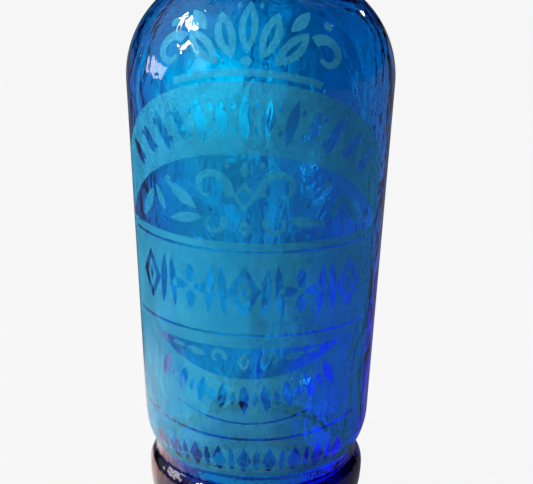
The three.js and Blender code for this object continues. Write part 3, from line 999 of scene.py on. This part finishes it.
def ear(name, low, high):
    outline = [
        (arm - ear_radius, column_base),
        (arm + ear_radius - 1, column_base),
        (arm + ear_radius, column_top),
        (arm + ear_radius, pivot),
    ]
    for i in range(1, ear_steps):
        angle = math.pi * i / ear_steps
        outline.append((arm + ear_radius * math.cos(angle), pivot + ear_radius * math.sin(angle)))
    outline.append((arm - ear_radius, pivot))
    mesh = bpy.data.meshes.new(name)
    corners = [at(x, low, z) for x, z in outline]
    mesh.from_pydata(corners, [], [list(range(len(corners)))])
    made = bpy.data.objects.new(name, mesh)
    bpy.context.collection.objects.link(made)
    pick(made)
    bpy.ops.object.mode_set(mode="EDIT")
    bpy.ops.mesh.select_all(action="SELECT")
    bpy.ops.mesh.extrude_region_move(TRANSFORM_OT_translate={"value": (0, (high - low) * MM, 0)})
    bpy.ops.mesh.select_all(action="SELECT")
    bpy.ops.mesh.normals_make_consistent(inside=False)
    bpy.ops.mesh.select_all(action="DESELECT")
    sides = bmesh.from_edit_mesh(mesh)
    for face in sides.faces:
        if len(face.verts) > 4:
            face.select_set(True)
    bmesh.update_edit_mesh(mesh)
    bpy.ops.mesh.bevel(offset=0.6 * MM, segments=3, affect="EDGES")
    bpy.ops.object.mode_set(mode="OBJECT")
    return made


combine(casting, ear("ear_front", -ear_outer, -ear_inner), "UNION")
combine(casting, ear("ear_back", ear_inner, ear_outer), "UNION")
for name, radius, start, end in (
    ("gland_room", 8.1, at(0, 0, column_top), at(0, 0, pivot)),
    ("passage", 2.5, at(0, 0, spout_axis), at(boss_reach + 1, 0, spout_axis)),
    ("spout_seat", 4.7, at(13.2, 0, spout_axis), at(boss_reach + 1, 0, spout_axis)),
    ("pin_hole", hole_radius, at(arm, -12, pivot), at(arm, 12, pivot)),
):
    combine(casting, round_rod(name, radius * MM, start, end, sides=48), "DIFFERENCE")
smoothed(casting)
print("casting faces:", len(casting.data.polygons))

# %% [markdown]
# The collar hooks under the glass lip, so it has to come in two halves. A full ring is
# spun, six notches are cut round its lower edge, and a bisect keeps one half of it.

# %% Collar in two halves, with notches for a hook spanner
collar_outline = [
    (16.6, -19.6), (25.5, -19.6), (25.5, -12.9), (22, -12.9), (22, -2.3), (18.3, -2.3),
    (18.3, -11.3), (16.6, -11.3),
]
collar_reach = 25.5
collar_low = -19.6
notches = 6
halves = []
for name, side in (("collar_front", -1), ("collar_back", 1)):
    half = turned(name, softened(collar_outline, 0.6), steps=96, closed=True)
    for i in range(notches):
        angle = (i + 0.5) * 2 * math.pi / notches
        deselect_all()
        bpy.ops.mesh.primitive_cube_add(
            size=1,
            location=at(collar_reach * math.cos(angle), collar_reach * math.sin(angle), collar_low),
            rotation=(0, 0, angle),
        )
        notch = bpy.context.object
        notch.scale = (4 * MM, 6 * MM, 27 * MM)
        bpy.ops.object.transform_apply(location=True, rotation=True, scale=True)
        bpy.ops.object.mode_set(mode="EDIT")
        bpy.ops.mesh.select_all(action="SELECT")
        bpy.ops.mesh.bevel(offset=0.5 * MM, segments=2, affect="EDGES")
        bpy.ops.object.mode_set(mode="OBJECT")
        combine(half, notch, "DIFFERENCE")
    pick(half)
    bpy.ops.object.mode_set(mode="EDIT")
    bpy.ops.mesh.select_all(action="SELECT")
    bpy.ops.mesh.bisect(
        plane_co=(0, side * 0.15 * MM, 0), plane_no=(0, -side, 0), use_fill=True, clear_outer=True
    )
    bpy.ops.object.mode_set(mode="OBJECT")
    smoothed(half)
    halves.append(half)
print("collar faces:", [len(half.data.polygons) for half in halves])

# %% [markdown]
# The spout is a bent tube. A Bezier curve with a bevel gives its outer skin, and Solidify
# gives it a wall, so that its mouth is open.

# %% Spout: a curve with a wall
drop_x = 55.6
spout_end = 6.55
path = bpy.data.curves.new("spout_path", "CURVE")
path.dimensions = "3D"
path.resolution_u = 40
path.bevel_depth = 4.4 * MM
path.bevel_resolution = 10
spline = path.splines.new("BEZIER")
spline.bezier_points.add(1)
first, last = spline.bezier_points
for point in (first, last):
    point.handle_left_type = "FREE"
    point.handle_right_type = "FREE"
first.co, first.handle_left = at(13.5, 0, spout_axis), at(6, 0, spout_axis)
first.handle_right = at(drop_x - 8, 0, spout_axis)
last.co, last.handle_left = at(drop_x, 0, spout_end), at(drop_x, 0, spout_axis + 5)
last.handle_right = at(drop_x, 0, spout_end - 5)
spout = bpy.data.objects.new("curved_spout", path)
bpy.context.collection.objects.link(spout)
pick(spout)
bpy.ops.object.convert(target="MESH")
spout = bpy.context.object
cleaned(spout)
thicken = spout.modifiers.new("wall", "SOLIDIFY")
thicken.thickness = 1.9 * MM
thicken.offset = -1
bpy.ops.object.modifier_apply(modifier=thicken.name)
smoothed(spout, 40)
print("spout faces:", len(spout.data.polygons))

# %% [markdown]
# A small brass nozzle ends the spout. Its grip is milled: upright ridges are pressed into
# one band of the turned piece, and the piece is then carried out to the spout's end.

# %% Nozzle with a milled grip
def milled(piece, low, high, beyond, ridges):
    """Presses upright ridges into a turned piece between two heights, past a radius."""
    for vertex in piece.data.vertices:
        x, y, z = vertex.co
        if low * MM < z - lip_top < high * MM and math.hypot(x, y) > beyond * MM:
            ridge = 1 - 0.05 * (0.5 + 0.5 * math.cos(ridges * math.atan2(y, x)))
            vertex.co = (x * ridge, y * ridge, z)


nozzle_outline = [
    (2.5, -2.45), (3.9, -2.45), (4.4, -1.45), (4.1, 1.2), (4.9, 2.4), (4.3, 3.2), (4.1, 4.25),
    (6.4, 6.25), (6.4, 7.2), (6.1, 7.5), (6.1, 10.6), (6.4, 10.9), (6.4, 11.55), (5.4, 12.55),
    (4.7, 12.55), (4.7, 6.25), (2.5, 6.25),
]
nozzle = turned("nozzle", softened(nozzle_outline, 0.22), steps=144, closed=True)
milled(nozzle, 7.6, 10.5, 5.5, 36)
for vertex in nozzle.data.vertices:
    vertex.co.x += drop_x * MM
print("nozzle faces:", len(nozzle.data.polygons))

# %% [markdown]
# The gland nut squeezes the packing round the spindle. The spindle carries the valve's
# disc, and the button on its top is what the lever presses. All three are turned.

# %% Turned fittings: gland nut, spindle and button
gland_outline = [
    (2.1, 40.2), (6.3, 40.2), (6.3, 44.1), (7.8, 44.1), (7.8, 44.7), (7.5, 45.0), (7.5, 46.3),
    (7.8, 46.6), (7.8, 47.0), (7.0, 47.8), (5.2, 47.8), (4.6, 47.4), (3.4, 47.4), (2.8, 47.8),
    (2.1, 47.8),
]
gland = turned("gland", softened(gland_outline, 0.2), steps=144, closed=True)
milled(gland, 44.9, 46.4, 7, 48)
spindle_outline = [
    (0.001, 16.2), (1.4, 16.2), (1.6, 16.5), (1.6, 22.2), (6.2, 22.2), (6.2, 23.8), (2, 23.8),
    (2, 52.6), (1.8, 52.81), (0.001, 52.81),
]
spindle = turned("spindle", sharp(spindle_outline), 48, closed=True)
button_outline = [
    (0.001, 53.11), (2.1, 53.11), (2.1, 50.91), (4.5, 50.91), (4.5, 54.0), (3.9, 54.6), (2.4, 54.78),
    (0.001, 54.81),
]
button = turned("button", sharp(button_outline), 64, closed=True, angle=60)
for piece in (gland, spindle, button):
    print(piece.name, "faces:", len(piece.data.polygons))

# %% [markdown]
# The lever is forged: a rounded bar that rises over the head, falls to the thumb, and there
# widens into a plate with shallow ribs. No primitive is near that shape, so rings of points
# are set along a curve and joined. The hub and the pad are bars joined to it.

# %% Lever: a bar that swells into a thumb plate
lever_curve = [(arm, pivot), (-0.6 * arm, pivot + 6), (-50.84, pivot + 8), (-59.7, pivot - 21)]
sections = 64
lever_line = [lever_curve[0]] + bezier(*lever_curve, sections)


def lever_loft():
    """Rings of points along the lever, with its rounded tail closed by five small rings."""
    verts, faces = [], []
    around = 28
    tail = 5
    last_ring = sections + tail
    for i in range(last_ring + 1):
        j = min(i, sections)
        t = j / sections
        before, after = lever_line[max(j - 1, 0)], lever_line[min(j + 1, sections)]
        length = math.dist(before, after)
        along = ((after[0] - before[0]) / length, (after[1] - before[1]) / length)
        half = 3.2 - 0.9 * t
        swell = min(max((t - 0.48) / 0.26, 0), 1)
        wide = 4.5 + 3 * swell * swell * (3 - 2 * swell)
        past = (i - sections) / tail if i > sections else 0
        close = math.cos(past * math.pi / 2 * 0.94)
        step = half * math.sin(past * math.pi / 2)
        cx, cz = lever_line[j][0] + along[0] * step, lever_line[j][1] + along[1] * step
        rib = math.sin((t - 0.70) / 0.24 * math.pi * 7)
        grip = 0.45 * max(0, rib) if 0.70 < t < 0.94 else 0
        for k in range(around):
            a = 2 * math.pi * k / around
            c, s = math.cos(a), math.sin(a)
            across = math.copysign(abs(c) ** 0.42, c) * wide * (0.86 + 0.14 * close)
            up = math.copysign(abs(s) ** 0.55, s) * half * close
            if up > 0:
                up -= grip * min(1, 2 * abs(s))
            verts.append(at(cx - along[1] * up, across, cz + along[0] * up))
    for i in range(last_ring):
        for k in range(around):
            n = (k + 1) % around
            faces.append([i * around + k, i * around + n, (i + 1) * around + n, (i + 1) * around + k])
    faces.append(list(range(around)))
    faces.append([last_ring * around + k for k in reversed(range(around))])
    return verts, faces


lever_mesh = bpy.data.meshes.new("thumb_lever")
verts, faces = lever_loft()
lever_mesh.from_pydata(verts, [], faces)
lever = bpy.data.objects.new("thumb_lever", lever_mesh)
bpy.context.collection.objects.link(lever)
cleaned(lever)
hub = round_rod("hub", ear_radius * MM, at(arm, -4.5, pivot), at(arm, 4.5, pivot), 0.6 * MM)
combine(lever, hub, "UNION")
pad = round_rod("pad", 5 * MM, at(0, -4.4, pivot), at(0, 4.4, pivot), 0.6 * MM)
combine(lever, pad, "UNION")
hole = round_rod("hole", hole_radius * MM, at(arm, -9, pivot), at(arm, 9, pivot), sides=48)
combine(lever, hole, "DIFFERENCE")
smoothed(lever)
print("lever faces:", len(lever.data.polygons))

# %% [markdown]
# The pin is a bar with a wider head. A thin block cut out of the head makes its slot.

# %% Lever pin with a slotted head
pin = round_rod("pin", pin_radius * MM, at(arm, -9, pivot), at(arm, 8.6, pivot), 0.35 * MM)
cap = round_rod("pin_cap", 3.3 * MM, at(arm, 8.3, pivot), at(arm, 9.6, pivot), 0.4 * MM)
combine(pin, cap, "UNION")
deselect_all()
bpy.ops.mesh.primitive_cube_add(size=1, location=at(arm, 9.6, pivot))
driver_slot = bpy.context.object
driver_slot.scale = (10 * MM, 1.3 * MM, 0.8 * MM)
bpy.ops.object.transform_apply(location=True, rotation=True, scale=True)
combine(pin, driver_slot, "DIFFERENCE")
smoothed(pin)
print("pin faces:", len(pin.data.polygons))

# %% [markdown]
# Inside the chamber a bronze spring lifts the valve shut. It is a wire along a helix.

# %% Valve spring: a coiled wire
wire = bpy.data.curves.new("spring_wire", "CURVE")
wire.dimensions = "3D"
wire.bevel_depth = 0.55 * MM
wire.bevel_resolution = 3
wire.use_fill_caps = True
coil = wire.splines.new("POLY")
turns = 4
coil_radius = 4.4
coil_low = 13.35
coil_high = 21.35
coil_steps = turns * 28
coil.points.add(coil_steps)
for i, point in enumerate(coil.points):
    angle = 2 * math.pi * turns * i / coil_steps
    rise = coil_low + (coil_high - coil_low) * i / coil_steps
    point.co = (*at(coil_radius * math.cos(angle), coil_radius * math.sin(angle), rise), 1)
spring = bpy.data.objects.new("coil_spring", wire)
bpy.context.collection.objects.link(spring)
pick(spring)
bpy.ops.object.convert(target="MESH")
spring = bpy.context.object
cleaned(spring)
smoothed(spring, 50)
print("spring faces:", len(spring.data.polygons))

# %% [markdown]
# ## Metals, rubber and leather
#
# An old head is dull tin with darker clouds and pits. Its brass fittings show fine lines
# from the lathe, made by stretching the noise. Rubber and leather are matt.

# %% Metals, rubber and leather
def metal(name, light, dark, rough, scale, dents=0.25, stretch=(1, 1, 1)):
    """A worn metal: two tones in clouds, uneven polish, fine pits or turning lines."""
    material, tree, shader = new_material(name)
    cloud = remap(tree, object_noise(tree, scale, 8, 0.3), 0.25, 0.80)
    speck = remap(tree, object_noise(tree, scale * 14, 3), 0.55, 0.75)
    tone = blend(tree, cloud, (*light, 1), (*dark, 1))
    tone = blend(tree, math_node(tree, "MULTIPLY", speck, 0.5), tone, (*[c * 0.45 for c in dark], 1))
    tree.links.new(tone, shader.inputs["Base Color"])
    shader.inputs["Metallic"].default_value = 1
    polish = remap(tree, object_noise(tree, scale * 2.3, 5), 0.3, 0.7, *rough)
    tree.links.new(polish, shader.inputs["Roughness"])
    pits = object_noise(tree, scale * 9, 4, 0.0, stretch)
    bumped(tree, shader, pits, dents, 0.0004)
    return material


def matt(name, light, dark, rough, scale, relief):
    material, tree, shader = new_material(name)
    cloud = remap(tree, object_noise(tree, scale, 6, 0.4), 0.3, 0.7)
    tree.links.new(blend(tree, cloud, (*light, 1), (*dark, 1)), shader.inputs["Base Color"])
    tree.links.new(remap(tree, cloud, 0, 1, rough - 0.1, rough + 0.08), shader.inputs["Roughness"])
    bumped(tree, shader, object_noise(tree, scale * 6, 4), relief, 0.0005)
    return material


cast_tin = metal("cast_tin", (0.52, 0.50, 0.465), (0.30, 0.285, 0.26), (0.30, 0.50), 150)
brass = metal("brass", (0.66, 0.46, 0.19), (0.42, 0.28, 0.11), (0.22, 0.42), 160, 0.15, (1, 1, 12))
bronze = metal("spring_bronze", (0.60, 0.38, 0.18), (0.32, 0.19, 0.09), (0.25, 0.45), 140, 0.15)
rubber = matt("rubber", (0.030, 0.027, 0.024), (0.012, 0.011, 0.010), 0.80, 160, 0.3)
leather = matt("leather", (0.16, 0.085, 0.040), (0.07, 0.036, 0.018), 0.78, 220, 0.6)
finishes = dict(cast_tin=cast_tin, brass=brass, spring_bronze=bronze, rubber=rubber, leather=leather)
print("finishes:", sorted(finishes))

# %% [markdown]
# The casting, the collar, the spout and the fittings stay with the bottle, the spindle and
# the button slide as the valve, and the lever turns. The spring stands on the bottle's side.

# %% Put the head on its bodies
for piece, node_name, body, slot_name in (
    (casting, "head_body", "siphon", "cast_tin"),
    (halves[0], "collar_half_front", "siphon", "cast_tin"),
    (halves[1], "collar_half_back", "siphon", "cast_tin"),
    (spout, "spout", "siphon", "cast_tin"),
    (nozzle, "spout_nozzle", "siphon", "brass"),
    (gland, "gland_nut", "siphon", "brass"),
    (pin, "lever_pin", "siphon", "brass"),
    (spindle, "valve_spindle", "valve", "brass"),
    (button, "spindle_button", "valve", "brass"),
    (lever, "lever", "lever", "cast_tin"),
    (spring, "valve_spring", "siphon", "spring_bronze"),
):
    piece.data.materials.clear()
    piece.data.materials.append(finishes[slot_name])
    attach(piece, body)
    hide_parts(node_name)

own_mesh(spring)

# %% [markdown]
# The hidden solids, such as washers, gaskets and linings, keep their shape. They only get
# a finish.

# %% Finish the solids that stay as they are
for node_name, slot_name in (
    ("tube_bushing", "rubber"),
    ("neck_gasket", "rubber"),
    ("valve_washer", "rubber"),
    ("collar_liner", "leather"),
    ("packing_ring", "leather"),
    ("tube_holder", "brass"),
    ("thrust_washer", "brass"),
    ("washer_nut", "brass"),
):
    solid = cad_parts[node_name]
    solid.data.materials.clear()
    solid.data.materials.append(finishes[slot_name])
    print(node_name, "->", slot_name)

# %% [markdown]
# ## The stage
#
# Clear glass has no colour of its own. It shows whatever stands behind it, bent and tinted.
# Lit by a window on its left, with a dim room on its right, blue glass runs from bright
# turquoise to deep blue. This tone stands for that room: it is bright on the left, dim on
# the right, and it is put on a card and on the floor where only the glass can see it.

# %% Tone seen through the glass
def graded(tree, coordinates, place, across):
    """Bright on the left, dim on the right and deep blue low on the right, with a painted glint: a small
    bright spot that shows as a highlight through the glass.
    """
    ramp = node(tree, "ShaderNodeValToRGB", {"Fac": across})
    stops = ramp.color_ramp.elements
    stops[0].position, stops[0].color = 0.0, (0.9, 0.9, 0.9, 1)
    stops[1].position, stops[1].color = 1.0, (0.9, 0.9, 0.9, 1)
    for position, green, blue in (
        (0.20, 1.15, 0.95),
        (0.30, 1.45, 1.05),
        (0.40, 1.05, 0.85),
        (0.50, 0.95, 0.80),
        (0.60, 0.46, 0.50),
        (0.72, 0.27, 0.42),
        (0.86, 0.30, 0.42),
    ):
        stop = stops.new(position)
        stop.color = (green, green, blue, 1)
    deep = math_node(
        tree,
        "MULTIPLY",
        remap(tree, place.outputs["X"], 0.0, 0.055),
        remap(tree, place.outputs["Z"], 0.115, 0.01),
    )
    toned = blend(tree, deep, ramp.outputs["Color"], (0.02, 0.035, 1.5, 1))
    glint = distance(tree, coordinates, (-0.030, card_depth, 0.150))
    bright = remap(tree, glint, 0.040, 0.004)
    return blend(tree, bright, toned, (2.6, 2.6, 1.5, 1))


def distance(tree, coordinates, place):
    ends = {0: coordinates, 1: place}
    return node(tree, "ShaderNodeVectorMath", ends, operation="DISTANCE").outputs["Value"]


def seen_or_through(tree, path):
    """1 for what the camera sees, straight or through glass, and 0 for all other light."""
    return math_node(tree, "MAXIMUM", path.outputs["Is Camera Ray"], path.outputs["Is Transmission Ray"])


card_depth = 0.085
tone_half = 0.09
print("the graded card stands %.0f mm behind the bottle" % (card_depth / MM))

# %% [markdown]
# The floor is pale and shines by itself, so that it meets the pale surroundings without an
# edge. Glass near it sees the graded tone, and a warm patch on the left is mirrored low in
# the glass. Under the right side of the foot the tone is painted brighter, a painted pool of
# light that shows only through the foot.

# %% Floor
bpy.ops.mesh.primitive_plane_add(size=14)
floor = bpy.context.object
floor.name = "floor"
floor_material, floor_tree, floor_shader = new_material("pale_floor")
floor_shader.inputs["Base Color"].default_value = (0.02, 0.02, 0.02, 1)
floor_shader.inputs["Roughness"].default_value = 0.9
floor_shader.inputs["Specular IOR Level"].default_value = 0
floor_shader.inputs["Emission Color"].default_value = (1, 1, 1, 1)
floor_path = floor_tree.nodes.new("ShaderNodeLightPath")
seen = seen_or_through(floor_tree, floor_path)
glow = remap(floor_tree, seen, 0, 1, 0.12, 0.912, smooth=False)
floor_spot = floor_tree.nodes.new("ShaderNodeTexCoord").outputs["Object"]
floor_place = node(floor_tree, "ShaderNodeSeparateXYZ", {"Vector": floor_spot})
floor_across = remap(floor_tree, floor_place.outputs["X"], -tone_half, tone_half, smooth=False)
floor_tone = graded(floor_tree, floor_spot, floor_place, floor_across)
reach = distance(floor_tree, floor_spot, (0, 0.02, 0))
nearby = math_node(
    floor_tree,
    "MULTIPLY",
    remap(floor_tree, reach, 0.15, 0.09),
    floor_path.outputs["Is Transmission Ray"],
)
# Under the right side of the foot the tone is painted up to 3.2 times brighter: a painted pool of light
# that shows only through the glass of the foot.
painted_pool_under_foot = math_node(
    floor_tree,
    "MULTIPLY",
    remap(floor_tree, reach, 0.075, 0.060),
    remap(floor_tree, floor_place.outputs["X"], 0.022, 0.034),
)
lift = remap(floor_tree, painted_pool_under_foot, 0, 1, 1, 3.2, smooth=False)
scaling = {0: floor_tone, "Scale": lift}
lifted = node(floor_tree, "ShaderNodeVectorMath", scaling, operation="SCALE").outputs["Vector"]
floor_color = blend(floor_tree, nearby, (1, 1, 1, 1), lifted)
warm = math_node(
    floor_tree,
    "MULTIPLY",
    remap(floor_tree, distance(floor_tree, floor_spot, (-0.13, 0.03, 0)), 0.13, 0.03),
    floor_path.outputs["Is Glossy Ray"],
)
warm_color = blend(floor_tree, warm, floor_color, (1.0, 0.62, 0.52, 1))
warm_glow = math_node(floor_tree, "ADD", glow, math_node(floor_tree, "MULTIPLY", warm, 2.2))
floor_tree.links.new(warm_color, floor_shader.inputs["Emission Color"])
floor_tree.links.new(warm_glow, floor_shader.inputs["Emission Strength"])
floor.data.materials.append(floor_material)
print("floor:", tuple(round(size, 2) for size in floor.dimensions))

# %% [markdown]
# The surroundings are one pale grey for the eye. Polished metal and the shoulder mirror a
# soft box on the upper left, and matt surfaces get an even fill.

# %% Studio surroundings
world = bpy.data.worlds.new("studio")
bpy.context.scene.world = world
world.use_nodes = True
world_tree = world.node_tree
world_shader = world_tree.nodes["Background"]
facing = world_tree.nodes.new("ShaderNodeTexCoord").outputs["Generated"]
to_softbox = {0: facing, 1: (-0.74, 0.21, 0.64)}
softbox = node(world_tree, "ShaderNodeVectorMath", to_softbox, operation="DOT_PRODUCT").outputs["Value"]
side_light = remap(world_tree, softbox, 0.70, 1.0, 0.008, 0.6)
world_path = world_tree.nodes.new("ShaderNodeLightPath")
fill = math_node(world_tree, "MULTIPLY", world_path.outputs["Is Diffuse Ray"], 0.5)
unseen = math_node(world_tree, "MAXIMUM", side_light, fill)
shown = {"Factor": seen_or_through(world_tree, world_path), "A": unseen, "B": 0.92}
level = node(world_tree, "ShaderNodeMix", shown).outputs["Result"]
world_shader.inputs["Color"].default_value = (1, 1, 1, 1)
world_tree.links.new(level, world_shader.inputs["Strength"])
bpy.context.scene.view_settings.view_transform = "Standard"
print("surroundings:", world.name)

# %% [markdown]
# The card behind the bottle carries the graded tone, mottled so that the waves in the glass
# have something to bend. It can't be seen, mirrored or lit by, except through glass.

# %% Graded card
card_half = 0.13
card_top = 0.27
bpy.ops.mesh.primitive_plane_add(size=1)
card = bpy.context.object
card.name = "graded_card"
for vertex in card.data.vertices:
    x, y, z = vertex.co
    vertex.co = (x * 2 * card_half, card_depth, (y + 0.5) * card_top)
card_material = bpy.data.materials.new("graded_card")
card_material.use_nodes = True
card_tree = card_material.node_tree
card_tree.nodes.clear()
coordinates = card_tree.nodes.new("ShaderNodeTexCoord").outputs["Object"]
place = node(card_tree, "ShaderNodeSeparateXYZ", {"Vector": coordinates})
across = remap(card_tree, place.outputs["X"], -tone_half, tone_half, smooth=False)
toned = graded(card_tree, coordinates, place, across)
patchy = remap(card_tree, object_noise(card_tree, 34, 3, 0.9), 0.3, 0.7, 0.6, 1.5)
light = node(card_tree, "ShaderNodeEmission", {"Color": toned, "Strength": patchy})
node(card_tree, "ShaderNodeOutputMaterial", {"Surface": light.outputs["Emission"]})
card.data.materials.append(card_material)
card.visible_camera = False
card.visible_diffuse = False
card.visible_glossy = False
card.visible_shadow = False
print("card:", tuple(round(size, 2) for size in card.dimensions))

# %% [markdown]
# Two narrow windows high on the left make the bright marks on the shoulder, and a low one
# makes those on the foot. A broad cool light and a small warm one rake across the etching,
# and two tight beams lift the metal head.

# %% Lights
def area_light(name, place, aim, size, power, color=(1, 1, 1), spread=None, glossy=True):
    """A rectangle of light. Spread, in degrees, narrows its beam."""
    data = bpy.data.lights.new(name, "AREA")
    data.shape = "RECTANGLE"
    data.size, data.size_y = size
    data.energy = power
    data.color = color
    if spread:
        data.spread = math.radians(spread)
    light = bpy.data.objects.new(name, data)
    bpy.context.collection.objects.link(light)
    light.location = place
    light.rotation_euler = (Vector(aim) - Vector(place)).to_track_quat("-Z", "Y").to_euler()
    light.visible_glossy = glossy
    return light


warm_white = (1.0, 0.93, 0.88)
cool = (0.6, 0.92, 1.0)
rose = (1.0, 0.25, 0.17)
shoulder_left = (-0.026, -0.036, 0.207)
strip_aim = (-0.026, -0.041, 0.20)
low_left = (-0.03, 0, 0.015)
area_light("window", (-0.447, 0.014, 0.63), shoulder_left, (0.19, 0.09), 1.5)
area_light("window_strip", (-0.507, -0.195, 0.505), strip_aim, (0.22, 0.018), 0.9)
area_light("low_window", (-0.59, 0.06, 0.23), (0, 0, 0.02), (0.28, 0.12), 0.7, warm_white)
area_light("left_wall", (-0.60, -0.44, 0.46), (0, 0, 0.215), (0.25, 0.3), 0.34, cool, 38, glossy=False)
area_light("warm_bounce", (-0.40, -0.24, 0.04), low_left, (0.12, 0.08), 0.25, rose, 36, glossy=False)
area_light("head_light", (0.15, -0.62, 0.50), (0, 0, 0.305), (0.12, 0.12), 0.03, spread=7)
area_light("rear_light", (0.45, 0.55, 0.55), (0, 0, 0.30), (0.12, 0.12), 0.16, spread=7)
print("lights:", sorted(light.name for light in bpy.data.lights))

# %% [markdown]
# The camera looks down a little, from about arm's length, with a long lens. Two small turns
# set the bottle where it should stand in the frame, and a slight roll keeps it upright.

# %% Camera
camera_distance = 0.550
camera_pitch = math.radians(19.17)
yaw = -0.005815
tilt = 0.022141
roll = 0.0128
aim_point = Vector((0, 0, 0.1005))
data = bpy.data.cameras.new("camera")
data.sensor_width = 36
data.lens = 90.6
camera = bpy.data.objects.new("camera", data)
bpy.context.collection.objects.link(camera)
away = Vector((0, -math.cos(camera_pitch), math.sin(camera_pitch)))
camera.location = aim_point + camera_distance * away
view = (aim_point - camera.location).to_track_quat("-Z", "Y").to_matrix()
turned_by = Matrix.Rotation(yaw, 3, "Y") @ Matrix.Rotation(tilt, 3, "X") @ Matrix.Rotation(roll, 3, "Z")
camera.rotation_euler = (view @ turned_by).to_euler()
bpy.context.scene.camera = camera
print("lens:", data.lens, "mm, distance:", camera_distance, "m")
